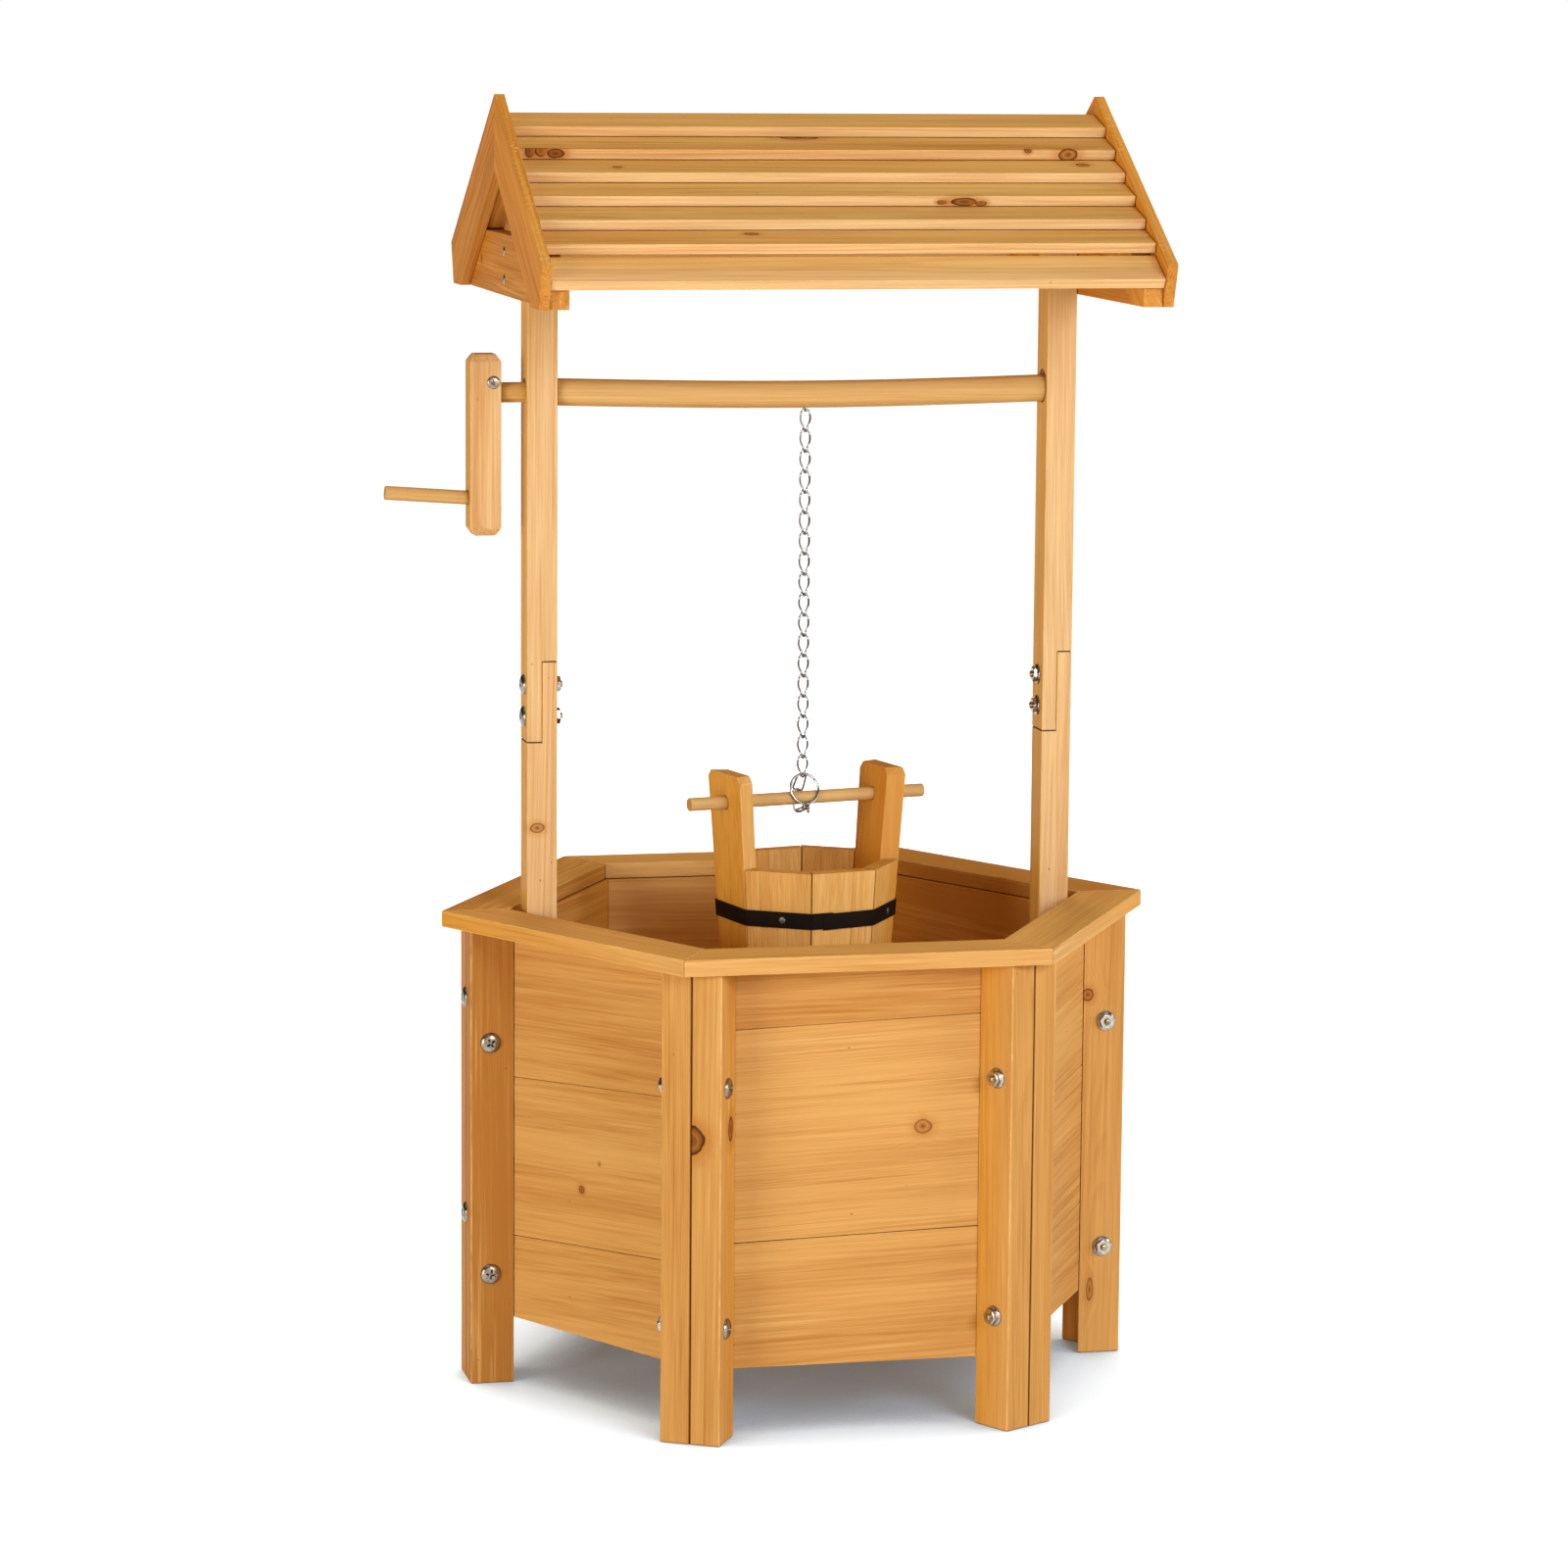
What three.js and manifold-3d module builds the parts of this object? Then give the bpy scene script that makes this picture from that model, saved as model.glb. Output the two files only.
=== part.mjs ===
import * as THREE from "three";
import * as BufferGeometryUtils from "three/addons/utils/BufferGeometryUtils.js";
import Module from "manifold-3d";

const wasm = await Module();
wasm.setup();

// A wishing well planter, in millimetres, +Z up, standing on Z = 0.
// The roof ridge and the roller run along X, the crank is at -X and the front faces -Y.

// Fits shared by all the pieces
const seatGap = 0.3;
const runningGap = 0.4;
const cutOverrun = 5;
const joinOverlap = 0.5;

// Hexagonal base: corners lie on the X axis, sides are numbered anticlockwise from the back right
const sideCount = 6;
const cornerReach = 303;
const stripWidth = 27;
const stripDepth = 39.5;
const stripHeight = 413;
const panelThickness = 16;
const panelClearance = 60;
const seamWidth = 0.9;
const seamDepth = 0.8;
const sideNames = ["back_right", "back", "back_left", "front_left", "front", "front_right"];
const seamShares = [
  [0.3, 0.68],
  [0.36, 0.79],
  [0.24, 0.6],
  [0.234, 0.644],
  [0.323, 0.855],
  [0.22, 0.582],
];
const seamRises = [
  [1.4, 0.8],
  [-1.2, 1.6],
  [2.2, 1],
  [3.9, 3.9],
  [1.6, 2],
  [2.4, 3.1],
];

// Floor that carries the plant pots, on ledges inside the panels
const floorThickness = 12;
const floorClearance = 4;
const ledgeHeight = 20;
const ledgeDepth = 15;

// Rim boards, mitred at the corners
const rimOverhang = 22;
const rimSetback = 3.6;
const rimThickness = 14.6;

// Posts, each of two lengths joined by a half lap
const postDepth = 27.2;
const boreCheek = 1.9;
const lapBottom = 579.5;
const lapLength = 72;

// Roof
const apexHeight = 1150;
const roofSlope = 30.5;
const boardThickness = 9;
const bargeWidth = 57;
const eaveReach = 236;
const eaveCutBack = 12.7;
const eaveDepth = 37;
const tieHeight = 54;
const tieThickness = 17;
const tieCover = 4;
const cleatSetback = 14;
const cleatInset = 2;
const slatCount = 7;
const slatLap = 5.6;
const slatDrop = 14;
const ridgeReach = 37.2;
const lastSlatSetback = 37.7;
const starterSetback = 10;

// Windlass: roller, crank arm and grip
const axisDrop = 84.6;
const rollerRadius = 12.3;
const rollerBow = 3.9;
const journalRadius = 9;
const leftBoreClearance = 1.7;
const rightBoreClearance = 2.5;
const armWidth = 28;
const armDepth = 26.2;
const armClearance = 5;
const armRise = 34.6;
const armDrop = 125.7;
const armBevel = 4.5;
const armBevelLength = 6.5;
const armSocketDepth = 20;
const gripRadius = 6.2;
const gripLength = 74;
const gripSocketDepth = 15;
const gripInset = 33.1;
const gripTilt = 4;

// Chain of twisted links, and the ring that holds the bucket's dowel
const chainOffset = 4.4;
const linkPitch = 18.4;
const linkWire = 1.9;
const linkWidth = 10.6;
const linkFuse = 0.3;
const linkPlay = 0.6;
const ringWire = 2.4;
const ringRadius = 13.75;
const ringSlack = 0.2;
const tailGap = 0.6;
const tailRoom = 4.4;
const tailBulge = 7.5;

// Bucket of eight staves, two of them tall
const bucketShift = 4.6;
const bucketYaw = 13;
const staveCount = 8;
const tubReach = 83.8;
const tubHeight = 150;
const tubTaper = 3.9;
const staveThickness = 15.4;
const tubBottomThickness = 12;
const tubBottomRise = 8;
const tubGroove = 3;
const handleRise = 26.4;
const handleChamfer = 6;
const dowelHeight = 521.5;
const dowelRise = 56.6;
const dowelRadius = 6;
const dowelOverhang = 33.2;
const bandDrop = 51.2;
const bandHeight = 15;
const bandThickness = 1.2;

// Facets
const rodSides = 18;
const bowSteps = 8;
const wireSides = 6;
const linkArcSteps = 4;
const linkSideSteps = 2;
const ringSteps = 20;

// Colours from the photograph
const wood = (colour, roughness) => new THREE.MeshStandardMaterial({ color: colour, roughness, metalness: 0 });
const boardWood = wood(0xd59a55, 0.62);
const frameWood = wood(0xcf8f4a, 0.64);
const roofWood = wood(0xc9935c, 0.66);
const dowelWood = wood(0xdda565, 0.58);
const chainSteel = new THREE.MeshStandardMaterial({ color: 0x6b6b6d, roughness: 0.3, metalness: 1 });
const blackIron = new THREE.MeshStandardMaterial({ color: 0x17120f, roughness: 0.5, metalness: 0.6 });

// Angles and points
const radians = THREE.MathUtils.degToRad;
const halfSide = Math.PI / sideCount;
const flat = (x, y) => new THREE.Vector2(x, y);
const point = (x, y, z) => new THREE.Vector3(x, y, z);

// Axes for an outline drawn in X and Y: (across, up) to the plane named, extruded along the third axis
const outlineInYZ = new THREE.Matrix4().makeBasis(point(0, 1, 0), point(0, 0, 1), point(1, 0, 0));
const outlineInXZ = new THREE.Matrix4().makeBasis(point(1, 0, 0), point(0, 0, 1), point(0, -1, 0));

// Solids for joining and cutting
function toSolid(geometry) {
  const bare = geometry.clone();
  bare.deleteAttribute("normal");
  bare.deleteAttribute("uv");
  const merged = BufferGeometryUtils.mergeVertices(bare);
  const vertProperties = new Float32Array(merged.attributes.position.array);
  const triVerts = new Uint32Array(merged.index.array);
  return new wasm.Manifold(new wasm.Mesh({ numProp: 3, vertProperties, triVerts }));
}

function toGeometry(solid) {
  const mesh = solid.getMesh();
  const geometry = new THREE.BufferGeometry();
  geometry.setAttribute("position", new THREE.BufferAttribute(mesh.vertProperties, mesh.numProp));
  geometry.setIndex(new THREE.BufferAttribute(mesh.triVerts, 1));
  return geometry;
}

const join = (first, ...rest) => toGeometry(rest.reduce((sum, g) => sum.add(toSolid(g)), toSolid(first)));
const cut = (first, ...rest) => toGeometry(rest.reduce((sum, g) => sum.subtract(toSolid(g)), toSolid(first)));
const overlap = (first, second) => toGeometry(toSolid(first).intersect(toSolid(second)));

// A straight-sided solid standing on an outline in the XY plane
function prism(outline, height) {
  return new THREE.ExtrudeGeometry(new THREE.Shape(outline), { depth: height, bevelEnabled: false });
}

// The same, for an outline in the YZ plane, from one X to another
function prismAlongX(outline, from, to) {
  return prism(outline, to - from).applyMatrix4(outlineInYZ).translate(from, 0, 0);
}

// The same, for an outline in the XZ plane, with its middle at Y = 0
function prismAlongY(outline, width) {
  return prism(outline, width).applyMatrix4(outlineInXZ).translate(0, width / 2, 0);
}

function block(from, to) {
  const size = point().subVectors(to, from);
  const middle = point().addVectors(from, to).divideScalar(2);
  return new THREE.BoxGeometry(size.x, size.y, size.z).translate(middle.x, middle.y, middle.z);
}

// A solid through rings of points that follow one outline, each ring anticlockwise seen from the far end
function loft(outline, rings) {
  const positions = rings.flat().flatMap((p) => p.toArray());
  const indices = [];
  const n = outline.length;
  for (let k = 0; k + 1 < rings.length; k++) {
    for (let j = 0; j < n; j++) {
      const a = k * n + j;
      const b = k * n + ((j + 1) % n);
      indices.push(a, b, b + n, a, b + n, a + n);
    }
  }
  const last = (rings.length - 1) * n;
  for (const [a, b, c] of THREE.ShapeUtils.triangulateShape(outline, [])) {
    indices.push(c, b, a, last + a, last + b, last + c);
  }
  const geometry = new THREE.BufferGeometry();
  geometry.setAttribute("position", new THREE.Float32BufferAttribute(positions, 3));
  geometry.setIndex(indices);
  return geometry;
}

// A turned rod along X through stations of place, radius and sideways drop
function rod(stations) {
  const circle = Array.from({ length: rodSides }, (_, j) => {
    const angle = (j / rodSides) * 2 * Math.PI;
    return flat(Math.cos(angle), Math.sin(angle));
  });
  const ring = ({ x, radius, drop = 0 }) => circle.map((p) => point(x, p.x * radius, p.y * radius - drop));
  return loft(circle, stations.map(ring));
}

// A closed loop of round wire through points, its section set out from the loop's middle
function wireLoop(points, wire) {
  const n = points.length;
  const middle = points.reduce((sum, p) => sum.add(p), point(0, 0, 0)).divideScalar(n);
  const positions = [];
  const indices = [];
  for (let k = 0; k < n; k++) {
    const along = point().subVectors(points[(k + 1) % n], points[(k + n - 1) % n]).normalize();
    const outward = point().subVectors(points[k], middle);
    outward.addScaledVector(along, -outward.dot(along)).normalize();
    const across = point().crossVectors(along, outward);
    for (let j = 0; j < wireSides; j++) {
      const angle = (j / wireSides) * 2 * Math.PI;
      const p = points[k].clone();
      p.addScaledVector(outward, (Math.cos(angle) * wire) / 2);
      p.addScaledVector(across, (Math.sin(angle) * wire) / 2);
      positions.push(...p.toArray());
      const next = (j + 1) % wireSides;
      const a = k * wireSides + j;
      const b = k * wireSides + next;
      const c = ((k + 1) % n) * wireSides + next;
      const d = ((k + 1) % n) * wireSides + j;
      indices.push(a, b, c, a, c, d);
    }
  }
  const geometry = new THREE.BufferGeometry();
  geometry.setAttribute("position", new THREE.Float32BufferAttribute(positions, 3));
  geometry.setIndex(indices);
  return geometry;
}

const well = new THREE.Group();

function addPiece(name, geometry, material, parent = well) {
  const mesh = new THREE.Mesh(geometry, material);
  mesh.name = name;
  parent.add(mesh);
  return mesh;
}

// Corner strips: one at each end of every panel, two to a corner, with a radial seam between them.
// A strip's end of its panel is named as seen from outside.
const stripInnerApothem = (cornerReach - stripDepth) * Math.cos(halfSide) + stripWidth * Math.sin(halfSide);

function stripOutline(side) {
  const seam = seatGap / 2;
  const seamReach = (stripInnerApothem - seam * Math.sin(halfSide)) / Math.cos(halfSide);
  const outline = [
    flat(seamReach, seam * side),
    flat(cornerReach, seam * side),
    flat(cornerReach, stripWidth * side),
    flat(cornerReach - stripDepth, stripWidth * side),
  ];
  return side > 0 ? outline : outline.reverse();
}

for (let i = 0; i < sideCount; i++) {
  for (const [end, side, corner] of [["left", 1, i], ["right", -1, i + 1]]) {
    const strip = addPiece(`${sideNames[i]}_strip_${end}`, prism(stripOutline(side), stripHeight), frameWood);
    strip.rotation.z = corner * 2 * halfSide;
  }
}

// Boards whose ends are mitred to the neighbouring side, as an outline with its outer face towards +X
function mitredOutline(outerApothem, innerApothem) {
  const endGap = seatGap / 2 / Math.cos(halfSide);
  const outer = outerApothem * Math.tan(halfSide) - endGap;
  const inner = innerApothem * Math.tan(halfSide) - endGap;
  return [
    flat(innerApothem, -inner),
    flat(outerApothem, -outer),
    flat(outerApothem, outer),
    flat(innerApothem, inner),
  ];
}

// Panels: edge-jointed boards with a V groove at each seam, and the ledge that carries the floor
const panelOuterApothem = stripInnerApothem - seatGap;
const panelInnerApothem = panelOuterApothem - panelThickness;
const panelHeight = stripHeight - panelClearance;

function seamGroove(height, rise) {
  const reach = panelOuterApothem;
  const outline = [
    flat(reach - seamDepth, 0),
    flat(reach + seamDepth, -seamWidth),
    flat(reach + seamDepth, seamWidth),
  ];
  return prismAlongY(outline, 2 * reach).rotateX(radians(rise)).translate(0, 0, height);
}

function panelGeometry(shares, rises) {
  const boards = prism(mitredOutline(panelOuterApothem, panelInnerApothem), panelHeight);
  const ledgeOuter = panelInnerApothem + joinOverlap;
  const ledge = prism(mitredOutline(ledgeOuter, panelInnerApothem - ledgeDepth), ledgeHeight);
  const grooves = shares.map((share, k) => seamGroove(share * panelHeight, rises[k]));
  return cut(join(boards, ledge), ...grooves);
}

for (let i = 0; i < sideCount; i++) {
  const panel = addPiece(`${sideNames[i]}_panel`, panelGeometry(seamShares[i], seamRises[i]), boardWood);
  panel.rotation.z = (2 * i + 1) * halfSide;
  panel.position.z = panelClearance;
}

// Rim boards on top of the strips
const rimOuterApothem = (cornerReach + rimOverhang) * Math.cos(halfSide);
const rimInnerApothem = panelInnerApothem + rimSetback;
const rimBottom = stripHeight + seatGap;
for (let i = 0; i < sideCount; i++) {
  const outline = mitredOutline(rimOuterApothem, rimInnerApothem);
  const board = addPiece(`${sideNames[i]}_rim_board`, prism(outline, rimThickness), boardWood);
  board.rotation.z = (2 * i + 1) * halfSide;
  board.position.z = rimBottom;
}

// Roof slopes fall from the apex by the same line, dropped square down by each piece's own amount
const slope = radians(roofSlope);
const slopeHeight = (drop, y) => apexHeight - drop - Math.abs(y) * Math.tan(slope);
const slopeReach = (drop, z) => (apexHeight - drop - z) / Math.tan(slope);

// Levels that hang from the roof: gable, ties, post tops and the roller's axis
const gableBottom = slopeHeight(eaveDepth, eaveReach);
const tieTop = gableBottom + tieHeight;
const postTop = tieTop - tieCover;
const axisHeight = gableBottom - axisDrop;

// Posts in the two X corners, standing on the ledges; the lower tongue of each lap is on the +X side
const postWidth = 2 * (rollerRadius + rightBoreClearance + boreCheek);
const ledgeTop = panelClearance + ledgeHeight;
const innerCornerReach = panelInnerApothem / Math.cos(halfSide);
const postOuterX = innerCornerReach - (postWidth / 2) * Math.tan(halfSide) - seatGap;
const postX = postOuterX - postDepth / 2;
const lapTop = lapBottom + lapLength;
const postFoot = ledgeTop + seatGap;

function lowerPostGeometry() {
  const half = postDepth / 2;
  const tongue = seatGap / 2;
  const outline = [
    flat(-half, postFoot),
    flat(half, postFoot),
    flat(half, lapTop),
    flat(tongue, lapTop),
    flat(tongue, lapBottom),
    flat(-half, lapBottom),
  ];
  return prismAlongY(outline, postWidth);
}

function upperPostGeometry(shaftRadius, clearance) {
  const half = postDepth / 2;
  const tongue = seatGap / 2;
  const outline = [
    flat(-half, lapBottom + seatGap),
    flat(-tongue, lapBottom + seatGap),
    flat(-tongue, lapTop + seatGap),
    flat(half, lapTop + seatGap),
    flat(half, postTop),
    flat(-half, postTop),
  ];
  const radius = shaftRadius + clearance;
  const bore = rod([
    { x: -half - cutOverrun, radius },
    { x: half + cutOverrun, radius },
  ]).translate(0, 0, axisHeight + clearance - runningGap);
  return cut(prismAlongY(outline, postWidth), bore);
}

const postSides = [
  { side: "left", x: -postX, shaft: journalRadius, clearance: leftBoreClearance },
  { side: "right", x: postX, shaft: rollerRadius, clearance: rightBoreClearance },
];
for (const { side, x, shaft, clearance } of postSides) {
  addPiece(`${side}_lower_post`, lowerPostGeometry(), frameWood).position.x = x;
  addPiece(`${side}_upper_post`, upperPostGeometry(shaft, clearance), frameWood).position.x = x;
}

// Floor board on the ledges, its two X corners cut off in front of the posts
const floorApothem = panelInnerApothem - floorClearance;
const floorReach = floorApothem / Math.cos(halfSide);
const floorEnd = postOuterX - postDepth - floorClearance;
const floorEndHalf = (floorReach - floorEnd) / Math.tan(halfSide);
const floorOutline = [
  flat(floorEnd, -floorEndHalf),
  flat(floorEnd, floorEndHalf),
  flat(floorReach / 2, floorApothem),
  flat(-floorReach / 2, floorApothem),
  flat(-floorEnd, floorEndHalf),
  flat(-floorEnd, -floorEndHalf),
  flat(-floorReach / 2, -floorApothem),
  flat(floorReach / 2, -floorApothem),
];
addPiece("floor_board", prism(floorOutline, floorThickness), boardWood).position.z = ledgeTop + seatGap;

// Pieces of the roof across its width
const tieInnerX = postOuterX + seatGap;
const tieOuterX = tieInnerX + tieThickness;
const bargeInnerX = tieOuterX + seatGap;
const bargeOuterX = bargeInnerX + boardThickness;
const bargeDrop = bargeWidth / Math.cos(slope);

// Slats overlap like clapboards, so each lies flatter than the roof
const slatSteps = slatCount - 2;
const lastReach = eaveReach - lastSlatSetback;
const slatExposure = (lastReach - ridgeReach) / (slatSteps * Math.cos(slope));
const slatWidth = slatExposure + slatLap;
const slatStepSine = (boardThickness + seatGap) / slatExposure;
const slatTilt = slope - Math.asin(slatStepSine);
const slatStandoff = slatWidth * slatStepSine + seatGap;
const cleatTopDrop = slatDrop + slatStandoff / Math.cos(slope);
const cleatBottomDrop = bargeDrop - cleatInset;
const cleatReach = eaveReach - cleatSetback;

// Outlines of the front slope in Y and Z; the back slope is their mirror image
const mirrored = (outline) => outline.map((p) => flat(-p.x, p.y)).reverse();

function bargeOutline() {
  const ridge = -seatGap / 2;
  return [
    flat(ridge, slopeHeight(0, ridge)),
    flat(-eaveReach, slopeHeight(0, eaveReach)),
    flat(-eaveReach + eaveCutBack, gableBottom),
    flat(-slopeReach(bargeDrop, gableBottom), gableBottom),
    flat(ridge, slopeHeight(bargeDrop, ridge)),
  ];
}

function cleatOutline() {
  const ridge = -seatGap / 2;
  return [
    flat(ridge, slopeHeight(cleatTopDrop, ridge)),
    flat(-cleatReach, slopeHeight(cleatTopDrop, cleatReach)),
    flat(-cleatReach, gableBottom),
    flat(-slopeReach(cleatBottomDrop, gableBottom), gableBottom),
    flat(ridge, slopeHeight(cleatBottomDrop, ridge)),
  ];
}

const slopes = [
  { name: "front", shape: (outline) => outline },
  { name: "back", shape: mirrored },
];

// Bargeboards, each with the cleat behind it that the slats are nailed to
for (const { name, shape } of slopes) {
  for (const [side, sign] of [["left", -1], ["right", 1]]) {
    const outer = [bargeInnerX * sign, bargeOuterX * sign].sort((a, b) => a - b);
    const inner = [tieInnerX * sign, (bargeInnerX + joinOverlap) * sign].sort((a, b) => a - b);
    const board = prismAlongX(shape(bargeOutline()), ...outer);
    const cleat = prismAlongX(shape(cleatOutline()), ...inner);
    addPiece(`${name}_bargeboard_${side}`, join(board, cleat), roofWood);
  }
}

// Tie boards between the cleats, screwed to the posts
const tieEndDrop = cleatBottomDrop + seatGap / Math.cos(slope);
const tieOutline = [
  flat(-slopeReach(tieEndDrop, gableBottom), gableBottom),
  flat(slopeReach(tieEndDrop, gableBottom), gableBottom),
  flat(slopeReach(tieEndDrop, tieTop), tieTop),
  flat(-slopeReach(tieEndDrop, tieTop), tieTop),
];
addPiece("gable_tie_left", prismAlongX(tieOutline, -tieOuterX, -tieInnerX), roofWood);
addPiece("gable_tie_right", prismAlongX(tieOutline, tieInnerX, tieOuterX), roofWood);

// Slats from the ridge down; the last lies flat on the cleats
function boardOutline(front, tilt, width) {
  const along = flat(Math.cos(tilt), Math.sin(tilt)).multiplyScalar(width);
  const up = flat(-Math.sin(tilt), Math.cos(tilt)).multiplyScalar(boardThickness);
  return [front, front.clone().add(along), front.clone().add(along).add(up), front.clone().add(up)];
}

function ridgeSlatOutline(front) {
  const ridge = -seatGap / 2;
  const rise = (p) => p.y + (ridge - p.x) * Math.tan(slatTilt);
  const up = flat(-Math.sin(slatTilt), Math.cos(slatTilt)).multiplyScalar(boardThickness);
  const top = front.clone().add(up);
  return [front, flat(ridge, rise(front)), flat(ridge, rise(top)), top];
}

function slatOutline(index) {
  const reach = ridgeReach + index * slatExposure * Math.cos(slope);
  const front = flat(-reach, slopeHeight(slatDrop, reach));
  return index === 0 ? ridgeSlatOutline(front) : boardOutline(front, slatTilt, slatWidth);
}

function starterOutline() {
  const reach = eaveReach - starterSetback;
  const lap = slatLap * Math.cos(slope - slatTilt);
  const front = flat(-reach, slopeHeight(cleatTopDrop - seatGap / Math.cos(slope), reach));
  return boardOutline(front, slope, (reach - lastReach) / Math.cos(slope) + lap);
}

const slatReach = bargeInnerX - seatGap;
for (const { name, shape } of slopes) {
  for (let i = 0; i < slatCount; i++) {
    const outline = i < slatCount - 1 ? slatOutline(i) : starterOutline();
    addPiece(`${name}_slat_${i + 1}`, prismAlongX(shape(outline), -slatReach, slatReach), roofWood);
  }
}

// Roller: bowed between the posts, with a thinner journal through the left post into the crank arm
const armRightX = -tieOuterX - armClearance;
const armLeftX = armRightX - armWidth;
const shoulderX = -postOuterX + postDepth + seatGap;

function rollerGeometry() {
  const stations = [
    { x: armRightX - armSocketDepth + seatGap, radius: journalRadius },
    { x: shoulderX, radius: journalRadius },
  ];
  for (let i = 0; i <= bowSteps; i++) {
    const share = i / bowSteps;
    const x = THREE.MathUtils.lerp(shoulderX, postOuterX - postDepth, share);
    stations.push({ x, radius: rollerRadius, drop: rollerBow * Math.sin(share * Math.PI) });
  }
  stations.push({ x: postOuterX, radius: rollerRadius });
  return rod(stations).translate(0, 0, axisHeight);
}

addPiece("roller", rollerGeometry(), dowelWood);

// Crank arm with bevelled ends, bored for the journal and the grip
const gripHeight = axisHeight - armDrop + gripInset;
const gripTurn = new THREE.Matrix4().makeRotationY(radians(gripTilt));

function placedGrip(radius, from, to) {
  const geometry = rod([
    { x: to, radius },
    { x: from, radius },
  ]);
  return geometry.applyMatrix4(gripTurn).translate(armLeftX, 0, gripHeight);
}

function armGeometry() {
  const rectangle = (inset) => {
    const x = armWidth / 2 - inset;
    const y = armDepth / 2 - inset;
    return [flat(-x, -y), flat(x, -y), flat(x, y), flat(-x, y)];
  };
  const level = (inset, z) => rectangle(inset).map((p) => point(p.x, p.y, z));
  const top = axisHeight + armRise;
  const bottom = axisHeight - armDrop;
  const bar = loft(rectangle(0), [
    level(armBevel, bottom),
    level(0, bottom + armBevelLength),
    level(0, top - armBevelLength),
    level(armBevel, top),
  ]).translate((armLeftX + armRightX) / 2, 0, 0);
  const socketRadius = journalRadius + seatGap;
  const socket = rod([
    { x: armRightX - armSocketDepth, radius: socketRadius },
    { x: armRightX + cutOverrun, radius: socketRadius },
  ]).translate(0, 0, axisHeight);
  const gripSocket = placedGrip(gripRadius + seatGap, gripSocketDepth, -cutOverrun);
  return cut(bar, socket, gripSocket);
}

addPiece("crank_arm", armGeometry(), dowelWood);
addPiece("crank_grip", placedGrip(gripRadius, gripSocketDepth - seatGap, -gripLength), dowelWood);

// Everything on the chain is turned about its plumb line; the ring sits a little off the dowel's middle
const hanging = new THREE.Group();
hanging.position.x = chainOffset;
hanging.rotation.z = radians(bucketYaw);
well.add(hanging);
const bucket = new THREE.Group();
bucket.position.x = bucketShift;
hanging.add(bucket);

const staveHalf = Math.PI / staveCount;
const taperSlope = Math.tan(radians(tubTaper));
const tubRim = dowelHeight - dowelRise;
const tubBottom = tubRim - tubHeight;
const staveOuter = (z) => tubReach * Math.cos(staveHalf) + (z - tubRim) * taperSlope;
const staveInner = (z) => staveOuter(z) - staveThickness;

// Corner of the octagon with a given apothem, in the direction of a number of half staves
function tubCorner(apothem, halves) {
  const reach = apothem / Math.cos(staveHalf);
  return flat(reach * Math.cos(halves * staveHalf), reach * Math.sin(halves * staveHalf));
}

const raise = (outline, z) => outline.map((p) => point(p.x, p.y, z));

// Three short staves between the tall ones, from one corner to the fourth
function staveRow(firstHalf, z) {
  const halves = [0, 1, 2, 3].map((i) => firstHalf + 2 * i);
  const outer = halves.map((h) => tubCorner(staveOuter(z), h));
  const inner = halves.map((h) => tubCorner(staveInner(z), h)).reverse();
  const outline = [...outer, ...inner];
  const turn = (firstHalf + 3) * staveHalf;
  const shrink = flat(Math.cos(turn), Math.sin(turn)).multiplyScalar(seatGap);
  return outline.map((p) => p.clone().add(shrink));
}

function tubGeometry() {
  const rows = [1, 9].map((firstHalf) => {
    const bottom = staveRow(firstHalf, tubBottom);
    const top = staveRow(firstHalf, tubRim);
    return loft(bottom, [raise(bottom, tubBottom), raise(top, tubRim)]);
  });
  const plateBottom = tubBottom + tubBottomRise;
  const apothem = staveInner(plateBottom) + tubGroove;
  const corners = Array.from({ length: staveCount }, (_, i) => tubCorner(apothem, 2 * i + 1));
  const plate = prism(corners, tubBottomThickness).translate(0, 0, plateBottom);
  const reach = staveInner(plateBottom) - seatGap;
  const between = block(
    point(-reach, -tubReach, plateBottom - cutOverrun),
    point(reach, tubReach, plateBottom + tubBottomThickness + cutOverrun),
  );
  return join(overlap(plate, between), ...rows);
}

const dowelReach = tubReach + dowelOverhang;

// Tall stave at +X, with its top corners cut off and a hole for the dowel
function handleGeometry() {
  const corner = staveHalf;
  const edge = seatGap / Math.cos(corner);
  const level = (z, inset) => {
    const outer = staveOuter(z) * Math.tan(corner) - edge - inset;
    const inner = staveInner(z) * Math.tan(corner) - edge - inset;
    return [
      point(staveInner(z), -inner, z),
      point(staveOuter(z), -outer, z),
      point(staveOuter(z), outer, z),
      point(staveInner(z), inner, z),
    ];
  };
  const top = dowelHeight + handleRise;
  const straight = top - handleChamfer;
  const rings = [level(tubBottom, 0), level(straight, 0), level(top, handleChamfer)];
  const outline = rings[0].map((p) => flat(p.x, p.y));
  const hole = rod([
    { x: 0, radius: dowelRadius + seatGap },
    { x: dowelReach, radius: dowelRadius + seatGap },
  ]).translate(0, 0, dowelHeight);
  return cut(loft(outline, rings), hole);
}

function bandGeometry() {
  const hoop = (offset, from, to) => {
    const ring = (z) => {
      const corners = Array.from({ length: staveCount }, (_, i) => tubCorner(staveOuter(z) + offset, 2 * i + 1));
      return raise(corners, z);
    };
    const corners = ring(from).map((p) => flat(p.x, p.y));
    return loft(corners, [ring(from), ring(to)]);
  };
  const bandBottom = tubRim - bandDrop;
  const bandTop = bandBottom + bandHeight;
  const outer = hoop(2 * seatGap + bandThickness, bandBottom, bandTop);
  return cut(outer, hoop(2 * seatGap, bandBottom - cutOverrun, bandTop + cutOverrun));
}

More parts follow.
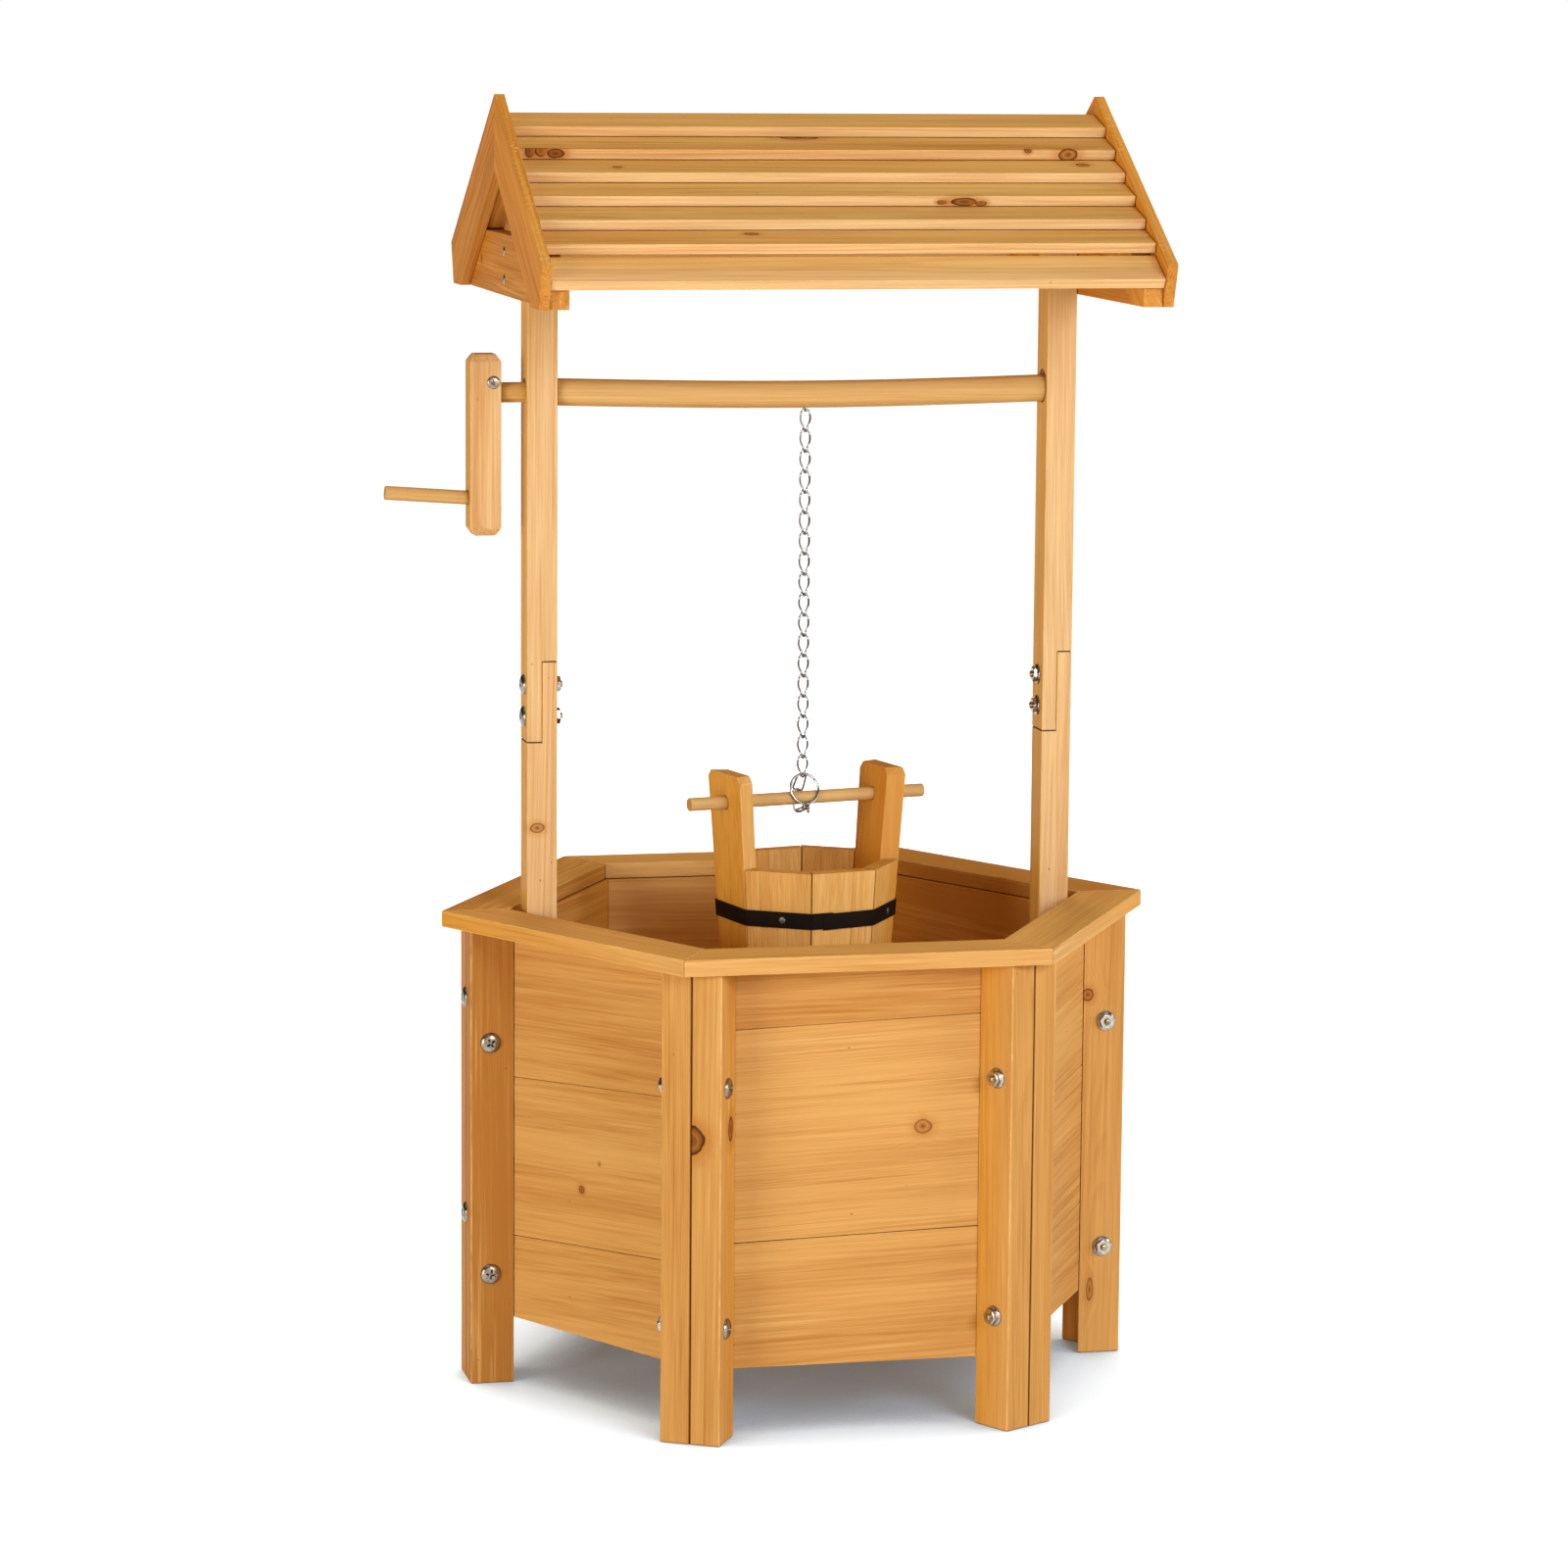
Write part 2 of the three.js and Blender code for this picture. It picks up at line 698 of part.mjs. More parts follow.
addPiece("bucket_tub", tubGeometry(), boardWood, bucket);
addPiece("bucket_handle_stave_right", handleGeometry(), boardWood, bucket);
addPiece("bucket_handle_stave_left", handleGeometry(), boardWood, bucket).rotation.z = Math.PI;
addPiece("bucket_band", bandGeometry(), blackIron, bucket);
const dowelEnds = [-dowelReach, dowelReach].map((x) => ({ x, radius: dowelRadius }));
addPiece("bucket_dowel", rod(dowelEnds).translate(0, 0, dowelHeight), dowelWood, bucket);

// Links are ovals; twisted ones have the upper end along X and the lower end along Y
function linkPoints(length, twist) {
  const arc = (linkWidth - linkWire) / 2;
  const straight = length / 2 - arc;
  const place = (u, z) => {
    const turn = (twist / 2) * (THREE.MathUtils.clamp(z / straight, -1, 1) - 1);
    return point(u * Math.cos(turn), u * Math.sin(turn), z);
  };
  const points = [];
  for (const half of [1, -1]) {
    for (let i = 0; i <= linkArcSteps; i++) {
      const angle = (i / linkArcSteps) * Math.PI;
      points.push(place(half * arc * Math.cos(angle), half * (straight + arc * Math.sin(angle))));
    }
    for (let i = 1; i < linkSideSteps; i++) {
      const share = i / linkSideSteps;
      points.push(place(-half * arc, half * THREE.MathUtils.lerp(straight, -straight, share)));
    }
  }
  return points;
}

const link = (length) => wireLoop(linkPoints(length, Math.PI / 2), linkWire);

// The ring leans back from the front of the dowel so that its top meets the plumb line
const ringStandoff = dowelRadius + seatGap + ringWire / 2 + ringSlack;
const ringRise = ringRadius - dowelRadius - linkWire / 2 - tailGap;
const ringTopReach = Math.hypot(ringStandoff, ringRise + ringRadius);
const ringTopHeight = dowelHeight + ringTopReach;

// The links' number and exact length follow from the span between the roller and the ring
const chainTop = axisHeight - rollerBow - rollerRadius - seatGap - linkWire / 2;
const endLinkBottom = ringTopHeight - ringWire / 2 - linkPlay - linkWire / 2;
const chainSpan = chainTop - endLinkBottom + linkPlay - linkWire;
const linkCount = Math.round((chainSpan + 2 * linkFuse) / linkPitch) - 1;
const linkInner = (chainSpan - (linkCount - 1) * linkFuse) / (linkCount + 1);
const linkLength = linkInner + linkWire;

function chainGeometry() {
  const links = Array.from({ length: linkCount }, (_, i) => {
    return link(linkLength).translate(0, 0, chainTop - linkLength / 2 - i * (linkInner + linkFuse));
  });
  return join(...links);
}

addPiece("chain", chainGeometry(), chainSteel, hanging);
const endLink = link(linkLength).translate(0, 0, endLinkBottom + linkLength / 2);
addPiece("chain_end_link", endLink, chainSteel, hanging);

// Ring, with the tail of the chain that passes behind and below the dowel and back to the ring,
// drawn upright in front of the dowel and then leant back about it
function ringGeometry() {
  const circle = Array.from({ length: ringSteps }, (_, i) => {
    const angle = (i / ringSteps) * 2 * Math.PI;
    return point(Math.cos(angle) * ringRadius, -ringStandoff, ringRise + Math.sin(angle) * ringRadius);
  });
  const top = point(0, -ringStandoff, ringRise + ringRadius);
  const foot = point(0, -ringStandoff, ringRise - ringRadius);
  const lower = point(0, dowelRadius + tailRoom, foot.z);
  const chord = point().subVectors(top, lower);
  const outward = point(0, chord.z, -chord.y).setLength(tailBulge);
  const upper = point().addVectors(top, lower).divideScalar(2).add(outward);
  const stops = [top, upper, lower, foot];
  const tail = stops.slice(1).map((stop, i) => {
    const from = stops[i];
    const middle = point().addVectors(from, stop).divideScalar(2);
    const turn = Math.atan2(from.z - stop.z, from.y - stop.y) - Math.PI / 2;
    const points = linkPoints(from.distanceTo(stop) + linkWire, 0);
    points.forEach((p) => p.applyAxisAngle(point(1, 0, 0), turn).add(middle));
    return wireLoop(points, linkWire);
  });
  const lean = Math.atan2(ringStandoff, ringRise + ringRadius);
  return join(wireLoop(circle, ringWire), ...tail).rotateX(-lean).translate(0, 0, dowelHeight);
}

addPiece("bucket_ring", ringGeometry(), chainSteel, hanging);

// The origin lies on the ground, under the middle of the whole object
well.updateMatrixWorld(true);
const bounds = new THREE.Box3().setFromObject(well);
well.position.x = -(bounds.min.x + bounds.max.x) / 2;

export default well;
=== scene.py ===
import math
import random

import bmesh
import bpy
from mathutils import Matrix, Vector


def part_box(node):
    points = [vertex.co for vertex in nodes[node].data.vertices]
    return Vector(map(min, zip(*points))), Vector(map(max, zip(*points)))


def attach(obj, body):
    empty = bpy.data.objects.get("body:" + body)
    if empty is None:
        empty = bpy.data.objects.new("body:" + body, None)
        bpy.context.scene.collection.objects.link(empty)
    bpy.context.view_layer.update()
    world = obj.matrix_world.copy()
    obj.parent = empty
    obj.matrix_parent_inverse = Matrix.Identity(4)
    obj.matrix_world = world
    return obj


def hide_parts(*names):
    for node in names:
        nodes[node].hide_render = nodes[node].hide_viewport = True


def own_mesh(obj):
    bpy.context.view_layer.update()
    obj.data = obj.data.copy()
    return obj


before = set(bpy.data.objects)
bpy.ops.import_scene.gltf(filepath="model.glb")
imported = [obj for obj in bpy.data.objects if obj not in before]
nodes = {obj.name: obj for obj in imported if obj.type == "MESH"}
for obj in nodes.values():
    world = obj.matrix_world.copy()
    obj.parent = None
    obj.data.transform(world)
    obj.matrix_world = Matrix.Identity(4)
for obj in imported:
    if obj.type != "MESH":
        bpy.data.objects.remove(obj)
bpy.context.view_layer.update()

MM = 0.001
X, Y, Z = Vector((1, 0, 0)), Vector((0, 1, 0)), Vector((0, 0, 1))
WELL_X = 24.975 * MM
CHAIN_X = WELL_X + 4.4 * MM
ROLLER_HEIGHT = 889.385
ROLLER_SAG = 3.9
AXIS_Z = ROLLER_HEIGHT * MM
DOWEL_HEIGHT = 521.5
YAW = math.radians(13)
BUCKET_SHIFT = 4.6 * MM
BUCKET = Vector((CHAIN_X + BUCKET_SHIFT * math.cos(YAW), BUCKET_SHIFT * math.sin(YAW), 0))


# Shader nodes.


class Tree:
    """The nodes of one material or world."""

    def __init__(self, owner):
        owner.use_nodes = True
        self.owner = owner
        self.tree = owner.node_tree
        self.tree.nodes.clear()

    def node(self, kind, inputs=None, **settings):
        made = self.tree.nodes.new(kind)
        for key, value in settings.items():
            setattr(made, key, value)
        for key, value in (inputs or {}).items():
            socket = made.inputs[key]
            if isinstance(value, bpy.types.NodeSocket):
                self.tree.links.new(value, socket)
            else:
                socket.default_value = value
        return made

    def attribute(self, name, output="Fac"):
        return self.node("ShaderNodeAttribute", attribute_name=name).outputs[output]

    def math(self, operation, a, b=0.0, clamp=False):
        made = self.node("ShaderNodeMath", {0: a, 1: b}, operation=operation, use_clamp=clamp)
        return made.outputs[0]

    def product(self, first, *rest):
        for value in rest:
            first = self.math("MULTIPLY", first, value)
        return first

    def total(self, first, *rest):
        for value in rest:
            first = self.math("ADD", first, value)
        return first

    def vector(self, operation, a, b=(0, 0, 0)):
        made = self.node("ShaderNodeVectorMath", {0: a, 1: b}, operation=operation)
        return made.outputs["Value" if operation in ("LENGTH", "DOT_PRODUCT") else "Vector"]

    def noise(self, vector, stretch, detail=2.0, roughness=0.5):
        scaled = self.vector("MULTIPLY", vector, stretch)
        inputs = {"Vector": scaled, "Scale": 1.0, "Detail": detail, "Roughness": roughness}
        return self.node("ShaderNodeTexNoise", inputs).outputs[0]

    def remap(self, value, a, b, low=0.0, high=1.0, smooth=False):
        kind = "SMOOTHSTEP" if smooth else "LINEAR"
        inputs = {"Value": value, "From Min": a, "From Max": b, "To Min": low, "To Max": high}
        return self.node("ShaderNodeMapRange", inputs, interpolation_type=kind, clamp=True).outputs[0]

    def mix(self, factor, a, b, blend="MIX"):
        made = self.node("ShaderNodeMix", {0: factor, 6: a, 7: b}, data_type="RGBA", blend_type=blend)
        return made.outputs[2]

    def paint_crevice_shade(self, colour, distance, samples, span, most, shade_colour):
        """Painted shade where faces meet: darkens a colour between two shares of open sky."""
        sky = self.node("ShaderNodeAmbientOcclusion", {"Distance": distance}, samples=samples)
        return self.mix(self.remap(sky.outputs["AO"], *span, most, 0.0), colour, shade_colour, "MULTIPLY")

    def surface(self, colour, roughness, height, strength, distance, sheen, metallic=0.0):
        """The shader and its relief."""
        bump = self.node("ShaderNodeBump", {"Strength": strength, "Distance": distance, "Height": height})
        inputs = {"Base Color": colour, "Roughness": roughness, "Metallic": metallic}
        inputs |= {"Specular IOR Level": sheen, "Normal": bump.outputs[0]}
        return self.finish(self.node("ShaderNodeBsdfPrincipled", inputs).outputs[0])

    def finish(self, shader, kind="ShaderNodeOutputMaterial"):
        self.tree.links.new(shader, self.node(kind).inputs["Surface"])
        return self.owner


def srgb(*channels):
    """A colour given in steps from 0 to 255, as a shader reads it."""
    shares = [v / 255 for v in channels]
    return (*[v / 12.92 if v <= 0.04045 else ((v + 0.055) / 1.055) ** 2.4 for v in shares], 1.0)


PAINTED = ("tone", "end", "sawn", "face_shade", "worn", "joint")


def knot_nodes(t, grain, knot):
    """Distance from a knot's axis in knot radii, and 1 where the knot passes."""
    offset = t.vector("SUBTRACT", grain, knot["at"])
    wobble = t.remap(t.noise(grain, (90, 90, 90)), 0.2, 0.8, 0.86, 1.14)
    through = t.vector("DOT_PRODUCT", offset, knot["axis"])
    inward = t.node("ShaderNodeVectorMath", {0: knot["axis"], "Scale": through}, operation="SCALE")
    flat = t.vector("SUBTRACT", offset, inward.outputs[0])
    flat = t.vector("MULTIPLY", flat, (1 / knot["long"], 1, 1))
    size = t.product(t.math("DIVIDE", t.vector("LENGTH", flat), knot["radius"]), wobble)
    depth = knot["depth"]
    return size, t.remap(t.math("ABSOLUTE", through), depth, depth * 1.2 + 0.0005, 1.0, 0.0)


def wood_rings(t, grain, ring, knots):
    """Growth rings counted out from the pith, bent by slow waves and by the knots."""
    split = t.node("ShaderNodeSeparateXYZ", {0: grain})
    y, z = split.outputs[1], split.outputs[2]
    depth = t.math("SQRT", t.total(t.product(y, y), t.product(z, z)))
    slow = t.product(t.noise(grain, (2.4, 16, 16), 1.5), 18 * MM)
    quick = t.product(t.noise(grain, (9, 75, 75)), 1.6 * MM)
    depth = t.total(depth, slow, quick)
    for size, reach, knot in knots:
        bump = t.math("EXPONENT", t.product(size, size, -0.14))
        depth = t.total(depth, t.product(bump, reach, 1.6 * knot["radius"]))
    return t.math("DIVIDE", depth, ring * MM)


def late_wood(t, grain, ring, knots):
    """The dark late wood of each growth ring, fainter in some places."""
    saw = t.math("FRACT", wood_rings(t, grain, ring, knots))
    late = t.product(t.remap(saw, 0.3, 0.9, 0.0, 1.0, smooth=True), t.remap(saw, 0.92, 1.0, 1.0, 0.0))
    return t.product(late, t.remap(t.noise(grain, (0.8, 95, 95), 1.0), 0.3, 0.7, 0.1, 1.0))


def knot_colour(t, colour, size, reach, dark):
    """A knot over the board's colour: halo, rings, dark rim and heart."""
    halo = t.product(t.remap(size, 0.9, 2.6, 0.45 * dark, 0.0, smooth=True), reach)
    colour = t.mix(halo, colour, srgb(186, 118, 46))
    rings = t.remap(t.math("FRACT", t.product(size, 2.2)), 0.1, 0.9)
    inner = t.mix(rings, srgb(196, 136, 70), srgb(140, 84, 38))
    inner = t.mix(min(1.0, max(0.0, dark - 0.8) * 0.8), inner, srgb(116, 66, 32))
    core = t.product(t.remap(size, 0.94, 1.06, 1.0, 0.0), reach, min(1.0, 0.8 * dark))
    colour = t.mix(core, colour, inner)
    rim = t.product(t.remap(size, 0.84, 0.97), t.remap(size, 1.0, 1.12, 1.0, 0.0), reach)
    colour = t.mix(t.product(rim, min(1.0, 0.85 * dark)), colour, srgb(64, 32, 12))
    heart = t.product(t.remap(size, 0.05, 0.35, 0.8, 0.0), reach)
    return t.mix(heart, colour, srgb(84, 44, 20))


def stain(t, grain, late, fibre, tone, figure, streak, broad):
    """How far a place is from the light colour to the dark one."""
    lines = t.remap(t.noise(grain, (2.2, 330, 330), 1.0, 0.4), 0.62, 0.72)
    streaks = t.noise(grain, (3, 170, 170), 3.0, 0.7)
    bands = t.noise(grain, (1.8, 26, 26), 2.0, 0.6)
    amount = t.total(t.product(late, 0.5 * figure), t.product(lines, 0.3 * streak))
    for source, scale in ((fibre, 1.0 * streak), (streaks, 0.85 * streak), (bands, 1.2 * broad)):
        amount = t.total(amount, t.product(t.math("SUBTRACT", source, 0.5), scale))
    return t.math("ADD", t.total(amount, tone), 0.3, clamp=True)


def tint(t, grain, colour, red):
    """Warm areas, pale glints and dark pores over the stain."""
    warm = t.remap(t.noise(grain, (1.1, 9, 9), 1.0), 0.35, 0.7, 0.0, red)
    colour = t.mix(warm, colour, (1.05, 0.88, 0.72, 1.0), "MULTIPLY")
    glint = t.remap(t.noise(grain, (5, 240, 240), 2.0, 0.6), 0.54, 0.7)
    glint = t.product(glint, t.remap(t.noise(grain, (2.5, 18, 18), 1.0), 0.45, 0.65, 0.0, 0.55))
    colour = t.mix(glint, colour, srgb(246, 214, 150))
    spread = t.vector("MULTIPLY", grain, (60, 110, 110))
    pores = t.node("ShaderNodeTexVoronoi", {"Vector": spread, "Scale": 1.0})
    chosen = t.node("ShaderNodeSeparateColor", {0: pores.outputs["Color"]}).outputs[0]
    speck = t.remap(pores.outputs["Distance"], 0.05, 0.09, 0.6, 0.0)
    speck = t.product(speck, t.remap(chosen, 0.9, 0.91))
    return t.mix(speck, colour, srgb(120, 68, 28))


def marked(t, grain, colour, marks, flecks):
    """What sawing, end grain, wear and seams leave on a board, with painted shade on faces square to X and
    turned up, and painted highlight on rounded edges.
    """
    colour = t.mix(flecks, colour, srgb(252, 214, 140))
    colour = t.mix(t.product(marks["end"], 0.45), colour, (0.64, 0.52, 0.38, 1.0), "MULTIPLY")
    # Painted shade: faces square to X and faces turned up are made deeper and yellower.
    colour = t.mix(marks["face_shade"], colour, (0.97, 0.83, 0.42, 1.0), "MULTIPLY")
    # Rounded edges are lightened in broken patches: partly wear, partly painted highlight.
    chips = t.remap(t.noise(grain, (50, 200, 200), 2.0, 0.6), 0.38, 0.6, 0.12, 0.6)
    colour = t.mix(t.product(marks["worn"], chips), colour, srgb(252, 216, 150))
    return t.mix(marks["joint"], colour, (0.2, 0.1, 0.05, 1.0), "MULTIPLY")


def wood(name, light, dark, ring=2.4, figure=0.5, streak=1.0, broad=1.0, rough=0.5, red=0.25, knots=()):
    """Softwood under a golden stain. It reads the grain and the painted attributes."""
    t = Tree(bpy.data.materials.new(name))
    grain = t.attribute("grain", "Vector")
    marks = {key: t.attribute(key) for key in PAINTED}
    held = [knot_nodes(t, grain, knot) + (knot,) for knot in knots]
    late = late_wood(t, grain, ring, held)
    fibre = t.noise(grain, (7, 520, 520), 2.0, 0.65)
    colour = t.mix(stain(t, grain, late, fibre, marks["tone"], figure, streak, broad), light, dark)
    flecks = t.remap(t.noise(grain, (420, 300, 300), 2.0, 0.6), 0.56, 0.68, 0.0, 0.7)
    flecks = t.product(flecks, t.remap(t.noise(grain, (16, 16, 16), 1.0), 0.36, 0.56), marks["sawn"])
    colour = marked(t, grain, tint(t, grain, colour, red), marks, flecks)
    for size, reach, knot in held:
        colour = knot_colour(t, colour, size, reach, knot["dark"])
    # Painted shade in the corners and seams where faces meet, from ambient occlusion.
    colour = t.paint_crevice_shade(colour, 0.003, 6, (0.15, 0.72), 1.0, (0.2, 0.1, 0.045, 1.0))
    height = t.total(t.product(fibre, 0.7), t.product(late, 0.3), t.product(flecks, 2.0))
    shine = t.total(t.product(fibre, 0.16), rough - 0.08)
    return t.surface(colour, shine, height, strength=0.35, distance=0.0004, sheen=0.05)


def metal(name, bright, dull, rough, metallic=1.0, scale=220.0, wear=0.4, sheen=0.5):
    """Plated or painted metal with small dull and rubbed places."""
    t = Tree(bpy.data.materials.new(name))
    place = t.attribute("grain", "Vector")
    fine = t.noise(place, (scale * 7,) * 3)
    patch = t.remap(t.noise(place, (scale,) * 3, 3.0, 0.6), 0.42, 0.68, 0.0, wear)
    colour = t.mix(patch, (*bright, 1), (*dull, 1))
    # Painted shade in the recesses and where the metal meets other parts, from ambient occlusion.
    colour = t.paint_crevice_shade(colour, 0.002, 4, (0.2, 0.85), 0.8, (0.2, 0.15, 0.12, 1.0))
    rougher = t.total(t.product(patch, 0.3), t.product(fine, 0.1))
    rougher = t.math("ADD", rougher, rough - 0.05, clamp=True)
    return t.surface(colour, rougher, fine, 0.2, 0.0001, sheen, metallic)


# Solids.


def ring_solid(rings, smooth=True, loop=False):
    """A closed solid through rings of points, with flat ends or round in a loop."""
    bm = bmesh.new()
    made = [[bm.verts.new(p) for p in ring] for ring in rings]
    for low, high in zip(made, made[1:] + made[:1] if loop else made[1:]):
        for j in range(len(low)):
            k = (j + 1) % len(low)
            bm.faces.new((low[j], low[k], high[k], high[j])).smooth = smooth
    if not loop:
        bm.faces.new(made[0][::-1])
        bm.faces.new(made[-1])
    bmesh.ops.recalc_face_normals(bm, faces=bm.faces)
    return bm


WIRE_SIDES = 10
NO_BEVEL_DOT = 0.996


def circle(centre, u, v, radius, sides):
    turn = math.tau / sides
    return [centre + (u * math.cos(j * turn) + v * math.sin(j * turn)) * radius for j in range(sides)]


def turned(stations, axis, sides=32):
    """A turned rod about an axis, through stations of a centre and a radius."""
    u = axis.orthogonal().normalized()
    v = axis.cross(u).normalized()
    return ring_solid([circle(centre, u, v, radius, sides) for centre, radius in stations])


def rounded_rod(start, end, radius, edge):
    """A rod with rounded ends."""
    axis = (end - start).normalized()
    steps = [(0.0, 0.38), (0.3, 0.1), (1.0, 0.0)]
    stations = [(start + axis * edge * a, radius - edge * b) for a, b in steps]
    stations += [(end - axis * edge * a, radius - edge * b) for a, b in reversed(steps)]
    return turned(stations, axis)


def square_to(axis, direction):
    """The part of a direction that is square to an axis."""
    return (direction - axis * direction.dot(axis)).normalized()


def closed_wire(points, radius):
    """Round wire bent into a closed loop."""
    centre = sum(points, Vector()) / len(points)
    rings = []
    for k, p in enumerate(points):
        along = (points[(k + 1) % len(points)] - points[k - 1]).normalized()
        away = square_to(along, p - centre)
        rings.append(circle(p, away, along.cross(away), radius, WIRE_SIDES))
    return ring_solid(rings, loop=True)


def open_wire(points, radius, sides=8, flat=1.0, normal=None):
    """Wire along an open path. flat squeezes its section across normal."""
    rings = []
    side = normal or (points[1] - points[0]).orthogonal()
    for k, p in enumerate(points):
        low, high = points[max(k - 1, 0)], points[min(k + 1, len(points) - 1)]
        along = (high - low).normalized()
        side = square_to(along, side)
        rings.append(circle(p, side * flat, along.cross(side), radius, sides))
    return ring_solid(rings)


def lathe(profile, sides=32):
    """A solid of revolution about Z, from (radius, height) pairs, centre to centre."""
    bm = bmesh.new()
    rings = []
    for r, h in profile:
        points = circle(Vector((0, 0, h)), X, Y, r, sides) if r else [Vector((0, 0, h))]
        rings.append([bm.verts.new(p) for p in points])
    for low, high in zip(rings, rings[1:]):
        for j in range(sides):
            k = (j + 1) % sides
            corners = [low[j % len(low)], low[k % len(low)], high[k % len(high)], high[j % len(high)]]
            bm.faces.new(list(dict.fromkeys(corners))).smooth = True
    bmesh.ops.recalc_face_normals(bm, faces=bm.faces)
    return bm


def cad_solid(node):
    """A CAD node's solid with its flat faces whole."""
    bm = bmesh.new()
    bm.from_mesh(nodes[node].data)
    bmesh.ops.remove_doubles(bm, verts=bm.verts, dist=1e-5)
    bmesh.ops.dissolve_limit(bm, angle_limit=math.radians(0.6), verts=bm.verts, edges=bm.edges)
    return bm


def half(bm, point, normal):
    """The closed part of a solid behind a plane."""
    part = bm.copy()
    geom = part.verts[:] + part.edges[:] + part.faces[:]
    bmesh.ops.bisect_plane(part, geom=geom, plane_co=point, plane_no=normal, clear_outer=True)
    bmesh.ops.holes_fill(part, edges=[e for e in part.edges if e.is_boundary], sides=0)
    return part


def slices(bm, cuts):
    """A solid cut into boards by planes in order. Each cut is a point, a normal and a gap."""
    parts = []
    for point, normal, gap in cuts:
        parts.append(half(bm, point - normal * gap / 2, normal))
        bm = half(bm, point + normal * gap / 2, -normal)
    return parts + [bm]


def soften(bm, width, segments=2, angle=30):
    """Rounds a solid's edges. Faces that keep an old direction stay flat."""
    limit = math.radians(angle)
    flats = {tuple(round(c, 3) for c in face.normal) for face in bm.faces}
    edges = [e for e in bm.edges if e.calc_face_angle(0) > limit]
    settings = dict(profile=0.5, affect="EDGES", clamp_overlap=True)
    bmesh.ops.bevel(bm, geom=edges, offset=width, segments=segments, **settings)
    for face in bm.faces:
        face.smooth = not any(face.normal.dot(Vector(flat)) > NO_BEVEL_DOT for flat in flats)
    return bm


def placed(bm, matrix):
    bmesh.ops.transform(bm, matrix=matrix, verts=bm.verts)
    return bm


def pointing(direction, at, spin=0.0):
    """Turns Z to a direction after a spin about it, and moves the origin to a point."""
    turn = direction.to_track_quat("Z", "Y").to_matrix().to_4x4()
    return Matrix.Translation(at) @ turn @ Matrix.Rotation(spin, 4, "Z")


def shown(name, data):
    """A new object in the scene."""
    made = bpy.data.objects.new(name, data)
    bpy.context.scene.collection.objects.link(made)
    return made


class Grain:
    """Where a board lies in its tree: its own axes, with the pith off to one side."""

    def __init__(self, name, centre, along, across, pith=None, lean=1.2):
        chance = random.Random(name)
        self.along = along.normalized()
        self.across = square_to(self.along, across)
        self.through = self.along.cross(self.across)
        self.centre = centre
        angle = chance.uniform(0, math.tau)
        reach = chance.uniform(25, 70) * MM
        self.pith = pith or (reach * math.cos(angle), reach * math.sin(angle))
        self.start = chance.uniform(0, 40)
        self.lean = [math.radians(chance.uniform(-lean, lean)) for _ in range(2)]

    def at(self, p):
        q = p - self.centre
        s = q.dot(self.along)
        t = q.dot(self.across) + s * self.lean[0] + self.pith[0]
        n = q.dot(self.through) + s * self.lean[1] + self.pith[1]
        return Vector((s + self.start, t, n))

    def axis(self, direction):
        """A direction through the board, in the grain's axes."""
        return Vector((0, direction.dot(self.across), direction.dot(self.through))).normalized()


class Piece:
    """Gathers closed solids, with what their materials read, into one object."""

    def __init__(self, name):
        self.name = name
        self.verts, self.faces, self.smooth = [], [], []
        self.materials, self.indices = [], []
        self.values = {key: [] for key in PAINTED}
        self.grain = []

    def marks(self, bm, grain, sawn, joint, worn):
        """What each painted attribute but the tone is at a solid's vertices."""
        marks = {key: {} for key in PAINTED[1:]}
        for face in bm.faces:
            normal = face.normal
            # Painted shade by face direction: whole on faces square to X, 0.75 on faces turned up, 0.45 on
            # faces straight up.
            found = {
                "end": grain and abs(normal.dot(grain.along)) > 0.85,
                "sawn": sawn and normal.dot(sawn) > 0.9,
                "joint": joint and normal.dot(joint) > 0.96,
                "face_shade": abs(normal.x) > 0.9,
            }
            if normal.z > 0.9:
                found["face_shade"] = 0.45 if normal.z > 0.99 else 0.75
            for key, value in found.items():
                if value:
                    marks[key].update(dict.fromkeys([v.index for v in face.verts], float(value)))
        seam = set(marks["joint"])
        # Vertices inside a rounded edge take the mark of wear and painted highlight, or the seam's dark
        # where a seam is beside them.
        for v in bm.verts:
            if worn and all(face.smooth for face in v.link_faces):
                beside = any(edge.other_vert(v).index in seam for edge in v.link_edges)
                marks["joint" if beside else "worn"][v.index] = 0.7 if beside else 1.0
        return marks

    def add(self, bm, material, grain=None, tone=0.0, sawn=None, joint=None, worn=False):
        if material not in self.materials:
            self.materials.append(material)
        first = len(self.verts)
        bm.verts.index_update()
        for face in bm.faces:
            self.faces.append([first + v.index for v in face.verts])
            self.smooth.append(face.smooth)
            self.indices.append(self.materials.index(material))
        marks = self.marks(bm, grain, sawn, joint, worn)
        for v in bm.verts:
            self.verts.append(v.co.copy())
            self.grain.append(grain.at(v.co) if grain else v.co.copy())
            self.values["tone"].append(tone)
            for key, marked_here in marks.items():
                self.values[key].append(marked_here.get(v.index, 0.0))
        bm.free()

    def make(self, body, slot, *replaced):
        mesh = bpy.data.meshes.new(self.name)
        mesh.from_pydata(self.verts, [], self.faces)
        mesh.polygons.foreach_set("use_smooth", self.smooth)
        for material in self.materials:
            mesh.materials.append(material)
        mesh.polygons.foreach_set("material_index", self.indices)
        grain = mesh.attributes.new("grain", "FLOAT_VECTOR", "POINT")
        grain.data.foreach_set("vector", [c for p in self.grain for c in p])
        for key, values in self.values.items():
            mesh.attributes.new(key, "FLOAT", "POINT").data.foreach_set("value", values)
        mesh.update()
        piece = shown(self.name, mesh)
        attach(piece, body)
        if replaced:
            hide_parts(*replaced)
        return piece


def middle(node):
    low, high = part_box(node)
    return (low + high) / 2


# Materials.

